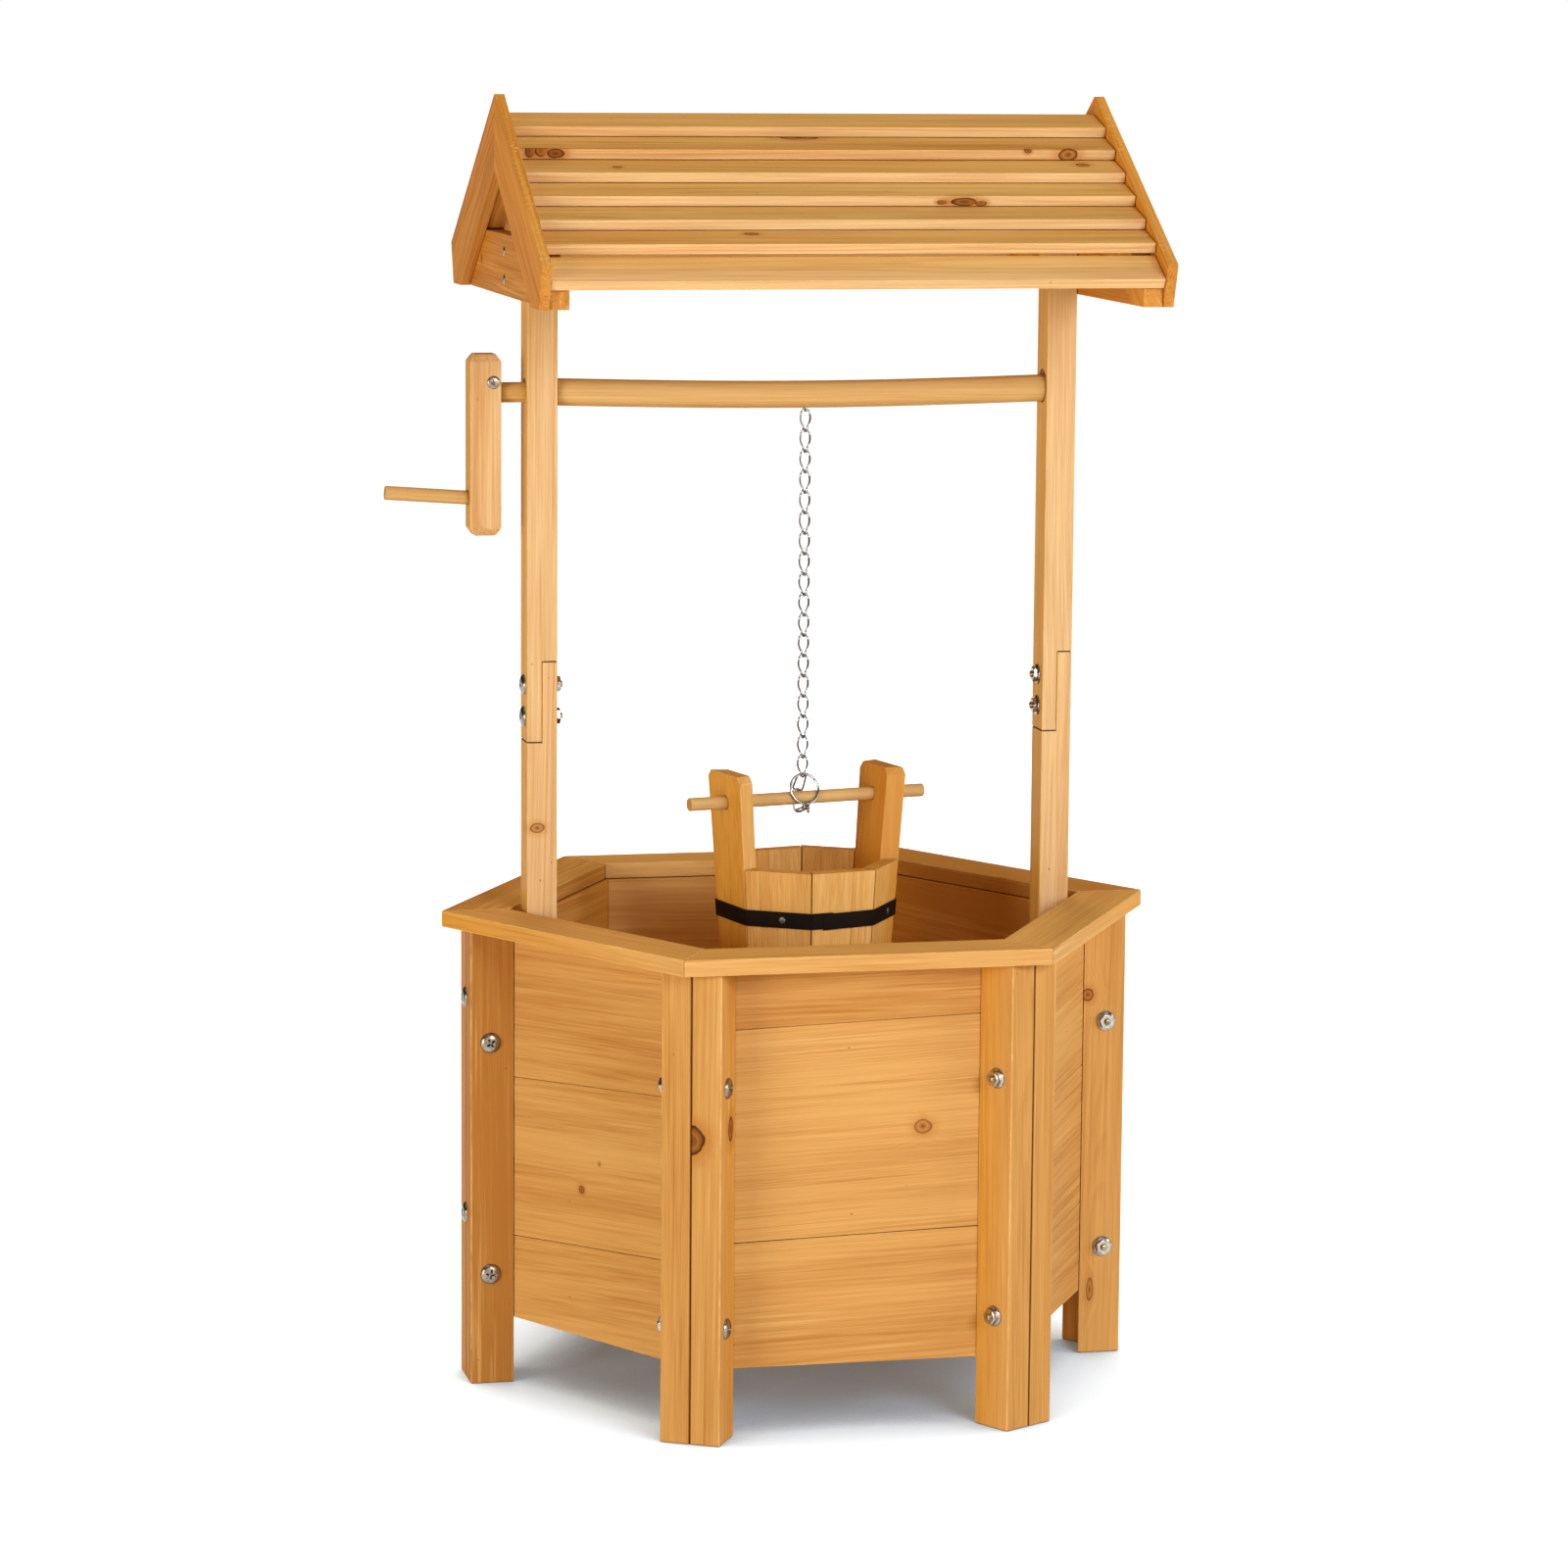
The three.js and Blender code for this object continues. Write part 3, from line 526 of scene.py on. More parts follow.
FAMILIES = {
    "board": ((240, 198, 132), (200, 145, 78), dict(ring=2.6, figure=0.35, broad=1.2)),
    "strip": ((222, 178, 112), (182, 128, 64), dict(ring=2.2, figure=0.35, streak=0.9)),
    "rim": ((232, 192, 130), (198, 145, 80), dict()),
    "post": ((230, 202, 160), (204, 160, 110), dict(ring=2.2, figure=0.6, streak=1.3, broad=0.7)),
    "roof": ((232, 208, 166), (203, 157, 102), dict(streak=1.3, broad=1.3, red=0.6)),
    "barge": ((226, 170, 90), (184, 124, 54), dict(ring=2.8, figure=0.8, streak=1.4)),
    "turned": ((219, 187, 134), (193, 153, 95), dict(ring=2.6, figure=0.4, rough=0.42)),
    "stave": ((240, 200, 128), (208, 153, 80), dict(ring=2.0, figure=0.4)),
}


def family_wood(family, name, knots=()):
    light, dark, settings = FAMILIES[family]
    return wood(f"{name}_wood", srgb(*light), srgb(*dark), knots=knots, **settings)


WOODS = {family: family_wood(family, family) for family in FAMILIES}

zinc = metal("zinc_steel", (0.52, 0.5, 0.47), (0.2, 0.17, 0.13), 0.16, wear=0.6)
gilt = metal("yellow_zinc", (0.44, 0.31, 0.12), (0.1, 0.06, 0.02), 0.22, wear=0.7)
# The screw heads' steel is a darker copy of the zinc: partly their own browner plating, partly painted
# shade for the dark they reflect.
plated_and_shaded = metal("head_steel", (0.36, 0.31, 0.25), (0.09, 0.06, 0.035), 0.2, wear=0.6)
nickel = metal("chain_steel", (0.42, 0.42, 0.43), (0.1, 0.1, 0.1), 0.12)
iron = metal("black_iron", (0.006, 0.004, 0.003), (0.02, 0.010, 0.006), 0.62, 0.0, 120.0, sheen=0.12)
rivet = metal("worn_rivet", (0.30, 0.27, 0.24), (0.01, 0.006, 0.004), 0.35, 0.8, 900.0, wear=1.0)

INWARD_LEFT, INWARD_RIGHT = Vector((0.866, 0.5, 0)), Vector((-0.866, 0.5, 0))

# Knots of each board: place, direction through the board, radius, how long for its radius, how dark,
# and how deep. Places, radii and depths are millimetres in the object's own frame.
KNOTS = {
    "front_panel1": [((83.3, -241.4, 267.7), Y, 6.0, 1.25, 0.75, 20)],
    "front_left_panel1": [
        ((-180.2, -127.2, 219.8), INWARD_LEFT, 1.6, 1.0, 0.8, 20),
        ((-192.2, -106.6, 192.8), INWARD_LEFT, 3.4, 1.1, 1.1, 20),
    ],
    "front_left_panel00": [((-206.5, -82.5, 68.5), INWARD_LEFT, 2.6, 3.0, 0.8, 20)],
    "front_right_panel00": [((254.9, -83.7, 131.1), INWARD_RIGHT, 9.0, 1.2, 0.9, 20)],
    "front_strip_left": [
        ((-126.4, -262.5, 267.4), Vector((0.5, 0.866, 0)), 10.5, 1.15, 1.4, 60),
        ((-90.2, -252.7, 274.5), INWARD_RIGHT, 6.0, 1.8, 1.4, 9),
    ],
    "front_right_strip_right": [
        ((292.8, -26.8, 336.3), Y, 5.0, 1.1, 1.0, 20),
        ((299.0, -26.8, 60.0), Y, 3.0, 3.5, 0.8, 20),
    ],
    "left_lower_post": [((-216.3, -16.5, 502.7), Y, 6.0, 0.7, 0.8, 20)],
    "front_slat_2": [
        ((-233.0, -71.7, 1102.4), Y, 5.0, 0.8, 1.7, 3),
        ((-223.0, -71.7, 1102.8), Y, 5.2, 1.0, 1.4, 3),
        ((-210.3, -71.2, 1100.4), Y, 3.8, 1.9, 1.7, 3),
        ((12.5, -37.8, 1114.0), Z, 5.0, 3.2, 1.0, 9),
        ((249.1, -70.8, 1099.8), Y, 5.4, 1.5, 1.1, 4),
        ((212.0, -70.8, 1103.5), Y, 2.2, 1.4, 1.3, 3),
    ],
    "front_slat_3": [
        ((-159.4, -88.6, 1089.6), Z, 2.6, 1.5, 1.0, 12),
        ((259.6, -81.6, 1091.7), Z, 4.0, 1.5, 1.0, 12),
    ],
    "front_slat_4": [
        ((118.0, -134.4, 1060.5), Y, 1.8, 2.4, 1.5, 3),
        ((138.0, -134.4, 1061.0), Y, 3.4, 3.2, 1.5, 3),
        ((153.0, -134.4, 1059.5), Y, 2.0, 2.4, 1.2, 3),
    ],
    "front_slat_6": [((-59.7, -174.8, 1035.3), Z, 3.0, 2.0, 1.1, 8)],
    "gable_tie_left": [((-243.1, 122.1, 1000.8), X, 3.6, 0.8, 1.5, 20)],
}


def timber(family, name, grain):
    """The family's wood, or one of its own where the board has knots."""
    knots = []
    for at, axis, radius, long, dark, depth in KNOTS.get(name, ()):
        knot = dict(at=grain.at(Vector(at) * MM), axis=grain.axis(axis), long=long, dark=dark)
        knots.append(dict(knot, radius=radius * MM, depth=depth * MM))
    return family_wood(family, name, knots) if knots else WOODS[family]


def add_board(piece, bm, family, name, along, across, tone=0.0, edge=1.2, segments=3,
              sawn=None, joint=None, **settings):
    """Adds one board to a piece, its edges rounded and its grain laid out."""
    centre = sum((v.co for v in bm.verts), Vector()) / len(bm.verts)
    grain = Grain(name, centre, along, across, **settings)
    solid = soften(bm, edge * MM, segments)
    piece.add(solid, timber(family, name, grain), grain, tone, sawn, joint, worn=True)


def board(node, finish, family, along, across, slot, body="frame", **settings):
    """One CAD board as its own piece."""
    piece = Piece(f"{node}_{finish}")
    add_board(piece, cad_solid(node), family, node, along, across, **settings)
    piece.make(body, slot, node)


# Base.

SEAM_SHARES = [(0.3, 0.68), (0.36, 0.79), (0.24, 0.6), (0.234, 0.644), (0.323, 0.855), (0.22, 0.582)]
SEAM_RISES = [(1.4, 0.8), (-1.2, 1.6), (2.2, 1), (3.9, 3.9), (1.6, 2), (2.4, 3.1)]
SEAM_GAPS = {"front": (0.55, 0.15), "front_left": (0.3, 0.1)}
# Tones of each side: boards from the lowest, left and right strip, rim board. Without one, chance decides.
SIDE_TONES = {
    # The darker tones of the back sides' boards, and of the back left and back right rims, are painted
    # shade of the well's inside.
    "back_right": ((0.6, 0.8, 0.7), None, 0.7),
    "back": ((0.1, 0.15, 0.05), None, None),
    "back_left": ((0.3, 0.4, 0.3), None, 0.5),
    "front_left": ((0.02, -0.08, 0.06), (0.5, 0.06), -0.02),
    "front": ((0.04, -0.08, 0.18), (0.08, -0.12), -0.06),
    "front_right": ((0.02, 0.08, 0.0), (0.06, -0.2), -0.06),
}
PANEL_LOW, PANEL_HIGH = 60 * MM, 413 * MM
PANEL_INNER = 225.398 * MM
HAIRLINE = 0.2 * MM
HUB = Vector((WELL_X, 0, 0))


def outward(angle):
    return Vector((math.cos(angle), math.sin(angle), 0))


def chance_of(name, low, high):
    return random.Random(name).uniform(low, high)


def build_panel(i, side, out, tones):
    """A side of the base as its separate boards, with the ledge inside as a batten."""
    node = f"{side}_panel"
    inner = HUB + out * PANEL_INNER
    seams = []
    for share, rise, gap in zip(SEAM_SHARES[i], SEAM_RISES[i], SEAM_GAPS.get(side, (0.3, 0.15))):
        point = inner + Z * (PANEL_LOW + share * (PANEL_HIGH - PANEL_LOW))
        seams.append((point, Matrix.Rotation(math.radians(rise), 3, out) @ Z, gap * MM))
    grains = [seams[0][1], (seams[0][1] + seams[1][1]).normalized(), seams[1][1]]
    piece = Piece(f"{side}_boards")
    for k, part in enumerate(slices(cad_solid(node), seams)):
        boards = {f"{node}{k}": part}
        if k == 0:
            ledge = half(part, inner - out * HAIRLINE, out)
            boards = {f"{node}01": half(part, inner, -out), f"{node}00": ledge}
        for name, bm in boards.items():
            add_board(piece, bm, "board", name, grains[k].cross(out), Z, tones[k], edge=0.25, segments=1)
    piece.make("frame", "board_wood", node)


def build_base():
    for i, (side, (board_tones, strip_tones, rim_tone)) in enumerate(SIDE_TONES.items()):
        out = outward((2 * i + 1) * math.pi / 6)
        build_panel(i, side, out, board_tones)
        for k, end in enumerate(("left", "right")):
            node = f"{side}_strip_{end}"
            corner = outward((i + k) * math.pi / 3)
            tone = strip_tones[k] if strip_tones else chance_of(node, -0.05, 0.2)
            seam = Z.cross(corner) * (2 * k - 1)
            board(node, "sawn", "strip", Z, corner, "frame_wood", tone=tone, edge=1.3, joint=seam)
        node = f"{side}_rim_board"
        tone = rim_tone or chance_of(node, -0.05, 0.12)
        board(node, "planed", "rim", Z.cross(out), out, "board_wood", tone=tone, edge=1.0)
    planks = Piece("floor_planks")
    cuts = [(Vector((0, y * MM, 0)), Y, 1.2 * MM) for y in (-148, -74, 0, 74, 148)]
    for k, part in enumerate(slices(cad_solid("floor_board"), cuts)):
        add_board(planks, part, "board", f"floor{k}", X, Y, 0.05 * k, edge=0.9, segments=2)
    planks.make("frame", "board_wood", "floor_board")


# Posts and roof.

SLOPE = math.radians(30.5)
BARGE_THICKNESS = 17.1 * MM
BARGE_TONES = {"front": {"left": -0.1, "right": -0.3}, "back": {"left": 0.2, "right": -0.15}}


def build_posts():
    for side in ("left", "right"):
        for part in ("lower", "upper"):
            node = f"{side}_{part}_post"
            tone, lap = chance_of(node, -0.05, 0.1), Z if part == "lower" else -Z
            board(node, "planed", "post", Z, Y, "frame_wood", tone=tone, edge=1.0, joint=lap)


def slope_axes(way):
    """Down one slope of the roof, and out of it."""
    sign = -1 if way == "front" else 1
    downhill = Vector((0, sign * math.cos(SLOPE), -math.sin(SLOPE)))
    return downhill, Vector((0, sign * math.sin(SLOPE), math.cos(SLOPE)))


def build_bargeboard(way, side):
    """A rough sawn bargeboard with the cleat that carries the slats behind it."""
    node = f"{way}_bargeboard_{side}"
    hand = -1 if side == "left" else 1
    downhill, up = slope_axes(way)
    low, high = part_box(node)
    cut = Vector((high.x - BARGE_THICKNESS if side == "left" else low.x + BARGE_THICKNESS, 0, 0))
    solid = cad_solid(node)
    piece = Piece(f"{node}_sawn")
    tone = BARGE_TONES[way][side]
    face = half(solid, cut, X * -hand)
    add_board(piece, face, "barge", node, downhill, up, tone, edge=0.7, segments=2, sawn=up)
    cleat = half(solid, cut - X * hand * HAIRLINE, X * hand)
    add_board(piece, cleat, "barge", f"{node}_cleat", downhill, up, tone + 0.1, edge=0.6, segments=2)
    piece.make("frame", "roof_wood", node)


def build_roof():
    for way in ("front", "back"):
        downhill, _ = slope_axes(way)
        for side in ("left", "right"):
            build_bargeboard(way, side)
        for i in range(7):
            node = f"{way}_slat_{i + 1}"
            tone = chance_of(node + "t", -0.1, 0.12)
            board(node, "sawn", "roof", X, downhill, "roof_wood", tone=tone, edge=0.5, lean=0.6)
    for side in ("left", "right"):
        board(f"gable_tie_{side}", "sawn", "barge", Y, Z, "roof_wood", tone=0.15, edge=0.7)


# Windlass.


def build_turned(node, bm, grain, tone, body):
    """One round wooden part as its own piece."""
    piece = Piece(f"{node}_turned")
    piece.add(bm, WOODS["turned"], grain, tone)
    piece.make(body, "turned_wood", node)


def build_roller():
    """The roller, which sags a little between its posts, with its thinner journal."""
    low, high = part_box("roller")
    shoulder, end = -197.85 * MM, 248.1 * MM
    bevel, journal, body, steps = 1.2 * MM, 9.0, 12.2, 48
    stations = [(low.x, 0.0, 7.6), (low.x + bevel, 0.0, journal), (shoulder, 0.0, journal)]
    stations += [(shoulder, 0.0, body - 1.0), (shoulder + bevel, 0.0, body)]
    for i in range(1, steps + 1):
        sag = ROLLER_SAG * MM * math.sin(i / steps * math.pi)
        stations.append((shoulder + (end - shoulder) * (i / steps), sag, body))
    stations += [(high.x - 1.3 * MM, 0.0, body), (high.x, 0.0, 11)]
    placed_stations = [(Vector((x, 0, AXIS_Z - sag)), radius * MM) for x, sag, radius in stations]
    grain = Grain("roller", middle("roller"), X, Y, pith=(3 * MM, -30 * MM), lean=0.7)
    build_turned("roller", turned(placed_stations, X, 40), grain, 0.02, "windlass")


def build_grip():
    """The round grip, its inner end in the crank arm."""
    root = Vector((-275.65 * MM, 0, AXIS_Z - 92.6 * MM))
    along = Matrix.Rotation(math.radians(4), 3, "Y") @ X
    outer, inner = 74 * MM, 14.7 * MM
    bm = rounded_rod(root - along * outer, root + along * inner, radius=6.2 * MM, edge=1.2 * MM)
    build_turned("crank_grip", bm, Grain("grip", root, along, Y), 0.25, "windlass")


# Bucket.

TUB_RIM, TUB_BOTTOM = 464.9, 314.9
TUB_CORNER = 83.8
TUB_FLARE = math.radians(3.9)
STAVE_THICKNESS = 15.4
STAVE_TURN = math.pi / 4
STAVE_HALF = math.pi / 8
in_bucket = Matrix.Translation(BUCKET) @ Matrix.Rotation(YAW, 4, "Z")
BUCKET_X, BUCKET_Y = in_bucket.to_3x3() @ X, in_bucket.to_3x3() @ Y
STAVE_TONES = {1: 0.35, 2: 0.35, 3: 0.4, 5: 0.1, 6: 0.0, 7: 0.05}


def stave_outer(z):
    """How far the staves' outer faces are from the bucket's axis at a height."""
    return TUB_CORNER * math.cos(STAVE_HALF) + (z - TUB_RIM) * math.tan(TUB_FLARE)


def facing_angle(angle):
    """The direction of the stave at an angle round the bucket."""
    return round(angle / STAVE_TURN) * STAVE_TURN


def stave(index, top, split):
    """One short stave, in the bucket's own axes, split at a share of its width."""
    turn = Matrix.Rotation(index * STAVE_TURN, 3, "Z")
    width = math.tan(STAVE_HALF)
    parts = []
    for start, stop, first, last in ((-1.0, split, 0.3, -0.06), (split, 1.0, 0.06, -0.3)):
        rings = []
        for z in (TUB_BOTTOM, top):
            outer, inner = stave_outer(z), stave_outer(z) - STAVE_THICKNESS
            near, far = (start, first), (stop, last)
            rings.append([])
            for reach, (share, gap) in ((inner, near), (outer, near), (outer, far), (inner, far)):
                across = share * reach * width + gap
                rings[-1].append(turn @ Vector((reach * MM, across * MM, z * MM)))
        parts.append(ring_solid(rings, smooth=False))
    return parts


def build_staves(piece):
    chance = random.Random("tub")
    for index, tone in STAVE_TONES.items():
        top = TUB_RIM - chance.uniform(0.0, 0.7)
        split = chance.choice((-0.55, 0.5, 0.3))
        out = in_bucket.to_3x3() @ outward(index * STAVE_TURN)
        for k, bm in enumerate(stave(index, top, split)):
            tone_k = tone + chance.uniform(-0.06, 0.06)
            hand = 2 * k - 1
            seam = Matrix.Rotation(hand * STAVE_HALF, 3, "Z") @ Z.cross(out) * hand
            name = f"stave{index}{k}"
            add_board(piece, placed(bm, in_bucket), "stave", name, Z, out, tone_k, 0.6, 2, joint=seam)


def build_bottom(piece):
    corner = (stave_outer(323) - STAVE_THICKNESS) / math.cos(STAVE_HALF)
    plate = []
    for z in (322.9, 334.9):
        plate.append([outward((2 * k + 1) * STAVE_HALF) * corner * MM + Z * z * MM for k in range(8)])
    seam = [(Vector(), Y, 0.4 * MM)]
    for k, bm in enumerate(slices(ring_solid(plate, smooth=False), seam)):
        add_board(piece, placed(bm, in_bucket), "stave", f"plate{k}", BUCKET_X, Z, 0.2, 0.8, 2)


def build_bucket():
    piece = Piece("bucket_staves")
    build_staves(piece)
    build_bottom(piece)
    piece.make("bucket", "board_wood", "bucket_tub")
    # The right handle stave is darker: partly its own colour, partly painted shade from the tub and the
    # left handle.
    for side, tone in (("left", 0.15), ("right", 0.65)):
        node = f"bucket_handle_stave_{side}"
        board(node, "planed", "stave", Z, BUCKET_Y, "board_wood", body="bucket", edge=1.3, tone=tone)
    centre = BUCKET + Z * DOWEL_HEIGHT * MM
    reach = BUCKET_X * 117 * MM
    bm = rounded_rod(centre - reach, centre + reach, radius=5.95 * MM, edge=0.9 * MM)
    build_turned("bucket_dowel", bm, Grain("dowel", centre, BUCKET_X, Z), -0.05, "bucket")


def band_cell(angle, lift, drop):
    """The strap's section at an angle round the bucket."""
    cell = []
    slant = math.cos(angle - facing_angle(angle))
    low, high, thickness = 413.9, 428.5, 0.9
    for offset, z in ((0.0, low), (thickness, low), (thickness, high), (0.0, high)):
        apothem = stave_outer(z) + 0.62 + offset + lift
        cell.append(in_bucket @ (outward(angle) * apothem / slant * MM + Z * (z - drop) * MM))
    return cell


def build_band():
    """A flat strap round the staves, its ends lapped near the front corner."""
    start, lap, lift = -1.70, 0.12, 0.35
    bends = [(2 * k + 1) * STAVE_HALF for k in range(-12, 12)]
    cells = [band_cell(start - lap, lift, 1.0)]
    for bend in bends:
        if start - lap < bend < start + math.tau:
            raised = lift if bend < start else 0.0
            cells += [band_cell(bend - 0.012, raised, 0.0), band_cell(bend + 0.012, raised, 0.0)]
    cells.append(band_cell(start + math.tau, 0.0, 0.0))
    piece = Piece("bucket_strap")
    piece.add(soften(ring_solid(cells, smooth=False), 0.2 * MM, 1, angle=50), iron)
    piece.make("bucket", "black_iron", "bucket_band")


# Chain.

WIRE = 1.9
SLACK = 0.3
DOWEL_RADIUS = 6
ROLLER_RADIUS = 12.3
RING_HALF = 1.2
RING_STANDOFF = DOWEL_RADIUS + SLACK + RING_HALF + 0.2
RING_RADIUS = 13.75
RING_RISE = RING_RADIUS - DOWEL_RADIUS - WIRE / 2 - 2 * SLACK
RING_TOP = DOWEL_HEIGHT + math.hypot(RING_STANDOFF, RING_RISE + RING_RADIUS)
CHAIN_TOP = ROLLER_HEIGHT - ROLLER_SAG - ROLLER_RADIUS - SLACK - WIRE / 2
END_LOW = RING_TOP - RING_HALF - 2 * SLACK - WIRE / 2
LINK_INNER = (CHAIN_TOP - END_LOW + 2 * SLACK - WIRE - 16 * SLACK) / 18
LINK_LENGTH = LINK_INNER + WIRE
LINK_WIDTH = 10.6
LINK_STEPS = 8
hanging = Matrix.Translation((CHAIN_X, 0, 0)) @ Matrix.Rotation(YAW, 4, "Z")


def link_points(length, twist):
    """The middle of a link's wire: an oval whose lower end is twisted round."""
    arc = (LINK_WIDTH - WIRE) / 2
    straight = length / 2 - arc
    points = []

    def place(u, z):
        turn = twist / 2 * (max(-1.0, min(1.0, z / straight)) - 1)
        return Vector((u * math.cos(turn), u * math.sin(turn), z)) * MM

    for way in (1, -1):
        for i in range(LINK_STEPS + 1):
            a = i / LINK_STEPS * math.pi
            points.append(place(way * arc * math.cos(a), way * (straight + arc * math.sin(a))))
        for i in range(1, LINK_STEPS):
            points.append(place(-way * arc, way * straight * (1 - 2 * i / LINK_STEPS)))
    return points


def link(length, z):
    points = [hanging @ (p + Z * z * MM) for p in link_points(length, math.pi / 2)]
    return closed_wire(points, WIRE / 2 * MM)


def build_chain():
    piece = Piece("chain_links")
    for i in range(17):
        z = CHAIN_TOP - LINK_LENGTH / 2 - i * (LINK_INNER + SLACK)
        piece.add(link(LINK_LENGTH + (0.0 if i == 0 else 0.28), z), nickel)
    links = piece.make("chain", "chain_steel", "chain")
    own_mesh(links)
    piece = Piece("chain_last_link")
    piece.add(link(LINK_LENGTH, END_LOW + LINK_LENGTH / 2), nickel)
    piece.make("chain_end", "chain_steel", "chain_end_link")


def split_ring(at):
    """The two turns of the split ring, in a plane turned by a matrix."""
    points = []
    for i in range(97):
        share = i / 96
        a, y = share * 4 * math.pi + 0.6, (share - 0.5) * 1.25 - RING_STANDOFF
        spot = Vector((math.cos(a) * RING_RADIUS, y, RING_RISE + math.sin(a) * RING_RADIUS))
        points.append(at @ (spot * MM))
    return open_wire(points, 1.1 * MM, WIRE_SIDES, 0.55, at.to_3x3() @ Y)


def wire_tail(at, foot):
    """The chain's end wire, twisted round itself under the ring."""
    points = []
    for k in range(49):
        share = k / 48
        a, narrow = share * 8 * math.pi, 2.1 - 1.8 * share
        spot = foot + Vector((narrow * math.cos(a), narrow * math.sin(a), 0.6 - 9.5 * share))
        points.append(at @ (spot * MM))
    return open_wire(points, 0.9 * MM)


def build_ring():
    """The split ring, and the links that go behind the dowel back to it."""
    lean = math.atan2(RING_STANDOFF, RING_RISE + RING_RADIUS)
    at = hanging @ Matrix.Translation((0, 0, DOWEL_HEIGHT * MM)) @ Matrix.Rotation(-lean, 4, "X")
    piece = Piece("split_ring")
    piece.add(split_ring(at), nickel)
    top = Vector((0, -RING_STANDOFF, RING_RISE + RING_RADIUS))
    foot = Vector((0, -RING_STANDOFF, RING_RISE - RING_RADIUS))
    lower = Vector((0, 10.4, foot.z - 2.5))
    chord = top - lower
    upper = (top + lower) / 2 + Vector((0, chord.z, -chord.y)).normalized() * 7.5
    stops = [top, upper, lower, foot]
    for start, stop in zip(stops, stops[1:]):
        turn = math.atan2(start.z - stop.z, start.y - stop.y) - math.pi / 2
        tilt = Matrix.Translation((start + stop) / 2 * MM) @ Matrix.Rotation(turn, 4, "X")
        wire = link_points((start - stop).length + WIRE, 0.5)
        piece.add(closed_wire([at @ tilt @ p for p in wire], WIRE / 2 * MM), nickel)
    piece.add(wire_tail(at, foot), nickel)
    piece.make("ring", "chain_steel", "bucket_ring")


# Fasteners.


def cross_cutter(radius, height):
    """The solid of a cross recess, tapered towards its foot."""
    wide, reach = radius * 0.11, radius * 0.62
    sections = [(height - height * 0.8, reach * 0.3, wide * 0.6), (height * 1.2, reach, wide)]
    rings = []
    for level, far, near in sections:
        rings.append([])
        for quarter in range(4):
            turn = Matrix.Rotation(quarter * math.pi / 2 + 0.05, 3, "Z")
            for x, y in ((far, -near), (far, near), (near, near)):
                rings[-1].append(turn @ Vector((x, y, level)))
    return ring_solid(rings, smooth=False)


def crossed_head(radius, height):
    """A domed screw head with a cross recess, standing on Z = 0."""
    profile = [(0.0, -0.2 * height), (radius * 0.98, -0.2 * height), (radius, 0.0)]
    for k in range(1, 8):
        a = k / 8 * math.pi / 2
        profile.append((radius * math.cos(a) ** 0.85, height * math.sin(a)))
    objects = []
    for bm in (lathe(profile + [(0.0, height)]), cross_cutter(radius, height)):
        mesh = bpy.data.meshes.new("head")
        bm.to_mesh(mesh)
        objects.append(shown("head", mesh))
    cut = objects[0].modifiers.new("cross", "BOOLEAN")
    cut.operation, cut.solver, cut.object = "DIFFERENCE", "EXACT", objects[1]
    bpy.context.view_layer.update()
    head = objects[0].evaluated_get(bpy.context.evaluated_depsgraph_get())
    result = bpy.data.meshes.new_from_object(head)
    for made in objects:
        bpy.data.objects.remove(made)
    return result


BOLT_HEAD = crossed_head(9.2 * MM, 3.8 * MM)
SMALL_HEAD = crossed_head(4.2 * MM, 1.1 * MM)
ARM_HEAD = crossed_head(5.8 * MM, 1.8 * MM)
STRAP_HEAD = crossed_head(3.1 * MM, 0.9 * MM)
BOLT_REACH = 285
STRIP_THICKNESS = 27
CORNER_REACH = 303
POST_BOLT_SPAN = 79.85
POST_THICKNESS = 27.2


def add_head(piece, mesh, at, direction, spin, material=plated_and_shaded):
    bm = bmesh.new()
    bm.from_mesh(mesh)
    piece.add(placed(bm, pointing(direction, at, spin)), material)


def add_nut(piece, at, direction, spin, thick):
    """A washer, a hexagon nut and the bolt's rounded end."""
    matrix = pointing(direction, at, spin)
    washer = [(0.0, -0.1), (8.7, -0.1), (9.1, 0.4), (8.7, 1.3), (0.0, 1.3)]
    bolt = [(0.0, 1.0), (2.9, 1.0), (2.9, thick + 2.6), (2.3, thick + 3.2), (0.0, thick + 3.3)]
    for profile, finish in ((washer, zinc), (bolt, gilt)):
        piece.add(placed(lathe([(r * MM, z * MM) for r, z in profile]), matrix), finish)
    rings = []
    for z, reach in ((1.3, 6.9), (1.8, 7.4), (thick + 0.7, 7.4), (thick + 1.3, 6.8)):
        rings.append(circle(Vector((0, 0, z * MM)), X, Y, reach * MM, 6))
    piece.add(placed(soften(ring_solid(rings, smooth=False), 0.25 * MM, 1), matrix), zinc)


def add_bolt(name, head_at, nut_at, direction, thick=5.0):
    piece = Piece(name)
    spin = chance_of(name, 0, math.pi)
    add_head(piece, BOLT_HEAD, head_at, direction, spin)
    add_nut(piece, nut_at, -direction, spin * 2, thick)
    piece.make("frame", "chain_steel")


def add_screw(name, mesh, at, direction, spin, body, material=plated_and_shaded):
    piece = Piece(name)
    add_head(piece, mesh, at, direction, spin, material)
    piece.make(body, "chain_steel")


def build_corner_bolts():
    """Two bolts at each corner of the base, through both of its strips."""
    for corner in range(6):
        out = outward(corner * math.pi / 3)
        along = Z.cross(out)
        for level, z in (("upper", 311.7), ("lower", 100.5)):
            at = HUB + out * BOLT_REACH * MM + Z * z * MM
            half_span = along * STRIP_THICKNESS * MM
            add_bolt(f"corner_bolt_{corner + 1}_{level}", at + half_span, at - half_span, along)


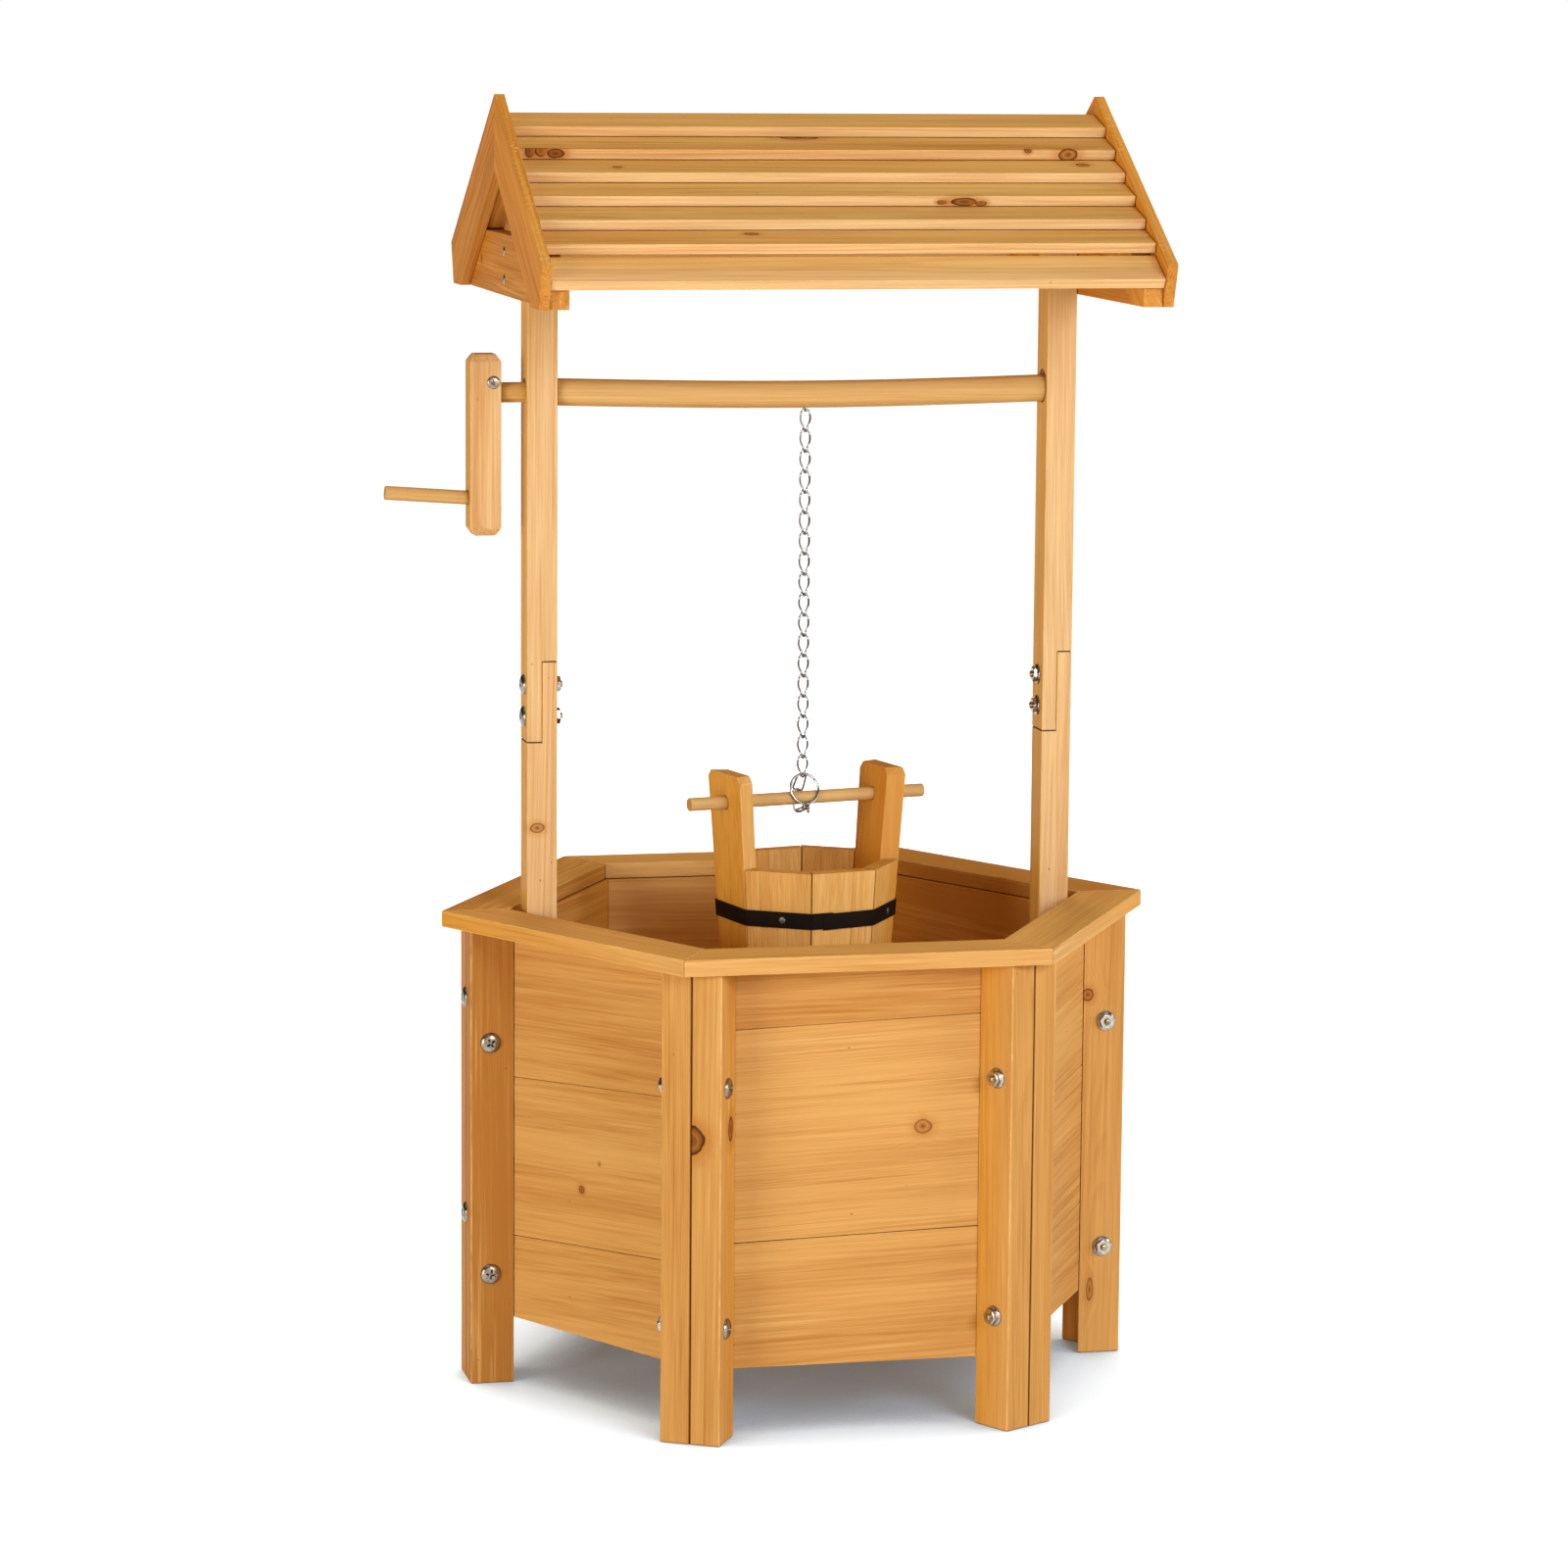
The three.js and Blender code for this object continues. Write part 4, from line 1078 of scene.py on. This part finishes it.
def build_post_fasteners(side, hand):
    """The bolts through a post, at its foot and its lap, and the screws of its gable tie."""
    out = X * hand
    post = middle(f"{side}_upper_post")
    low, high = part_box(f"gable_tie_{side}")
    face = low.x if side == "left" else high.x
    half_post = out * POST_THICKNESS / 2 * MM
    for level, foot, lap, tie in (("upper", 349.2, 629.5, 1012.8), ("lower", 152.1, 601.0, 988.5)):
        at = HUB + out * CORNER_REACH * MM + Z * foot * MM
        add_bolt(f"{side}_post_bolt_{level}", at, at - out * POST_BOLT_SPAN * MM, out)
        at = Vector((post.x, 0, lap * MM))
        add_bolt(f"{side}_lap_bolt_{level}", at + half_post, at - half_post, out, 4.0)
        at = Vector((face, 2.5 * MM, tie * MM))
        add_screw(f"{side}_tie_screw_{level}", SMALL_HEAD, at, out, 0.4, "frame")


def build_strap_screws():
    for k, degrees in enumerate((-132.2, -40.0, 45.0, 135.0)):
        a = math.radians(degrees)
        facing = facing_angle(a)
        reach = (stave_outer(421) + 1.5) / math.cos(a - facing)
        at = in_bucket @ (outward(a) * reach * MM + Z * 421.2 * MM)
        direction = in_bucket.to_3x3() @ outward(facing)
        add_screw(f"strap_screw_{k + 1}", STRAP_HEAD, at, direction, 0.8 * k, "bucket", rivet)


def build_fasteners():
    build_corner_bolts()
    for side, hand in (("left", -1), ("right", 1)):
        build_post_fasteners(side, hand)
    at = Vector((-254.8 * MM, -13.0 * MM, 899 * MM))
    add_screw("crank_arm_screw", ARM_HEAD, at, -Y, 0.1, "windlass")
    build_strap_screws()


def build_staple():
    """The staple that holds the chain's first link under the roller."""
    low, half_width, top = CHAIN_TOP - WIRE / 2 + 2.15, 3.4, 877
    path = [Vector((0, -half_width, top))]
    for k in range(13):
        a = math.pi + k / 12 * math.pi
        path.append(Vector((0, math.cos(a) * half_width, low + math.sin(a) * 3.0)))
    path.append(Vector((0, half_width, top)))
    piece = Piece("chain_staple")
    piece.add(open_wire([hanging @ (p * MM) for p in path], 0.8 * MM), zinc)
    piece.make("windlass", "chain_steel")


# Camera, floor and light.


def add_camera():
    turn, dip, roll = math.radians(12.866), math.radians(-8.417), math.radians(0.452)
    ahead = Vector((math.sin(turn) * math.cos(dip), math.cos(turn) * math.cos(dip), math.sin(dip)))
    level = Vector((math.cos(turn), -math.sin(turn), 0))
    upright = level.cross(ahead)
    right = level * math.cos(roll) + upright * math.sin(roll)
    up = upright * math.cos(roll) - level * math.sin(roll)
    data = bpy.data.cameras.new("camera")
    data.sensor_fit, data.sensor_width, data.lens = "HORIZONTAL", 36.0, 119.499
    camera = shown("camera", data)
    axes = Matrix((right, up, -ahead)).transposed().to_4x4()
    camera.matrix_world = Matrix.Translation((-1.021175, -4.52567, 1.22108)) @ axes
    bpy.context.scene.camera = camera


def add_world(ambient):
    """White to the camera, a warm dim light on the object, and a studio for metal to show."""
    world = bpy.data.worlds.new("studio")
    bpy.context.scene.world = world
    t = Tree(world)
    direction = t.node("ShaderNodeTexCoord").outputs["Generated"]
    height = t.node("ShaderNodeSeparateXYZ", {0: direction}).outputs[2]
    forward = t.vector("DOT_PRODUCT", direction, (0.2, -0.98, 0.0))
    ahead = t.remap(forward, 0.66, 0.86, 0.05, 1.0, smooth=True)
    grey = t.math("MAXIMUM", ahead, t.remap(height, 0.7, 0.9, 0.05, 0.8, smooth=True))
    shown = t.node("ShaderNodeCombineColor", {0: grey, 1: grey, 2: grey}).outputs[0]
    path = t.node("ShaderNodeLightPath")
    colour = t.mix(path.outputs["Is Glossy Ray"], ambient, shown)
    seen = t.math("MAXIMUM", path.outputs["Is Camera Ray"], path.outputs["Is Transmission Ray"])
    colour = t.mix(seen, colour, (1.0, 1.0, 1.0, 1.0))
    background = t.node("ShaderNodeBackground", {"Color": colour, "Strength": 1.0})
    t.finish(background.outputs[0], "ShaderNodeOutputWorld")


def add_floor():
    """A pale floor that shows white, with the soft shadow of what stands on it."""
    bm = bmesh.new()
    bmesh.ops.create_grid(bm, x_segments=8, y_segments=8, size=150)
    mesh = bpy.data.meshes.new("floor")
    bm.to_mesh(mesh)
    bm.free()
    t = Tree(bpy.data.materials.new("pale_floor"))
    place = t.node("ShaderNodeTexCoord").outputs["Object"]
    cloud = t.remap(t.noise(place, (0.8, 0.8, 0.8)), 0.3, 0.7, 0.97, 1.0)
    path = t.node("ShaderNodeLightPath")
    seen = t.math("MAXIMUM", path.outputs["Is Camera Ray"], path.outputs["Is Transmission Ray"])
    seen = t.math("MAXIMUM", seen, path.outputs["Is Glossy Ray"])
    paint = t.mix(seen, (0.86, 0.73, 0.53, 1), (0.38, 0.53, 0.76, 1))
    diffuse = t.node("ShaderNodeBsdfDiffuse", {"Color": paint})
    open_sky = t.node("ShaderNodeAmbientOcclusion", {"Distance": 0.22}, samples=8).outputs["AO"]
    glow = t.remap(open_sky, 0.25, 0.8, 0.09, 1.0)
    strength = t.product(seen, glow, cloud)
    light = t.node("ShaderNodeEmission", {"Color": (1, 1, 1, 1), "Strength": strength})
    both = t.node("ShaderNodeAddShader", {0: diffuse.outputs[0], 1: light.outputs[0]})
    mesh.materials.append(t.finish(both.outputs[0]))
    floor = shown("floor", mesh)


def add_lamp(name, at, power, colour=(1, 1, 1), width=1.8, glossy=True):
    """A soft lamp turned towards the middle of the well."""
    data = bpy.data.lights.new(name, "AREA")
    data.shape, data.size, data.size_y = "RECTANGLE", width, 1.6
    data.energy, data.color = power, colour
    lamp = shown(name, data)
    lamp.matrix_world = pointing(Vector(at) - Vector((0, 0, 0.6)), Vector(at))
    lamp.visible_glossy = glossy


build_base()
build_posts()
build_roof()
build_roller()
board("crank_arm", "planed", "post", Z, X, "turned_wood", body="windlass", tone=0.25, edge=1.2)
build_grip()
build_bucket()
build_band()
build_chain()
build_ring()
build_fasteners()
build_staple()

add_camera()
add_world((0.26, 0.172, 0.075, 1.0))
add_floor()
add_lamp("key", (1.4, -4.0, 2.1), 90)
add_lamp("left", (-4.0, -2.7, 0.8), 106, (1.0, 0.92, 0.74))
add_lamp("right", (4.0, -2.3, 1.2), 46, (1.0, 0.93, 0.78))
add_lamp("back", (0.6, 4.0, 2.2), 100, (1.0, 0.88, 0.64), glossy=False)
add_lamp("top", (-0.3, -0.3, 3.6), 12, (1.0, 0.8, 0.5), width=1.6, glossy=False)
bpy.context.scene.view_settings.view_transform = "Standard"
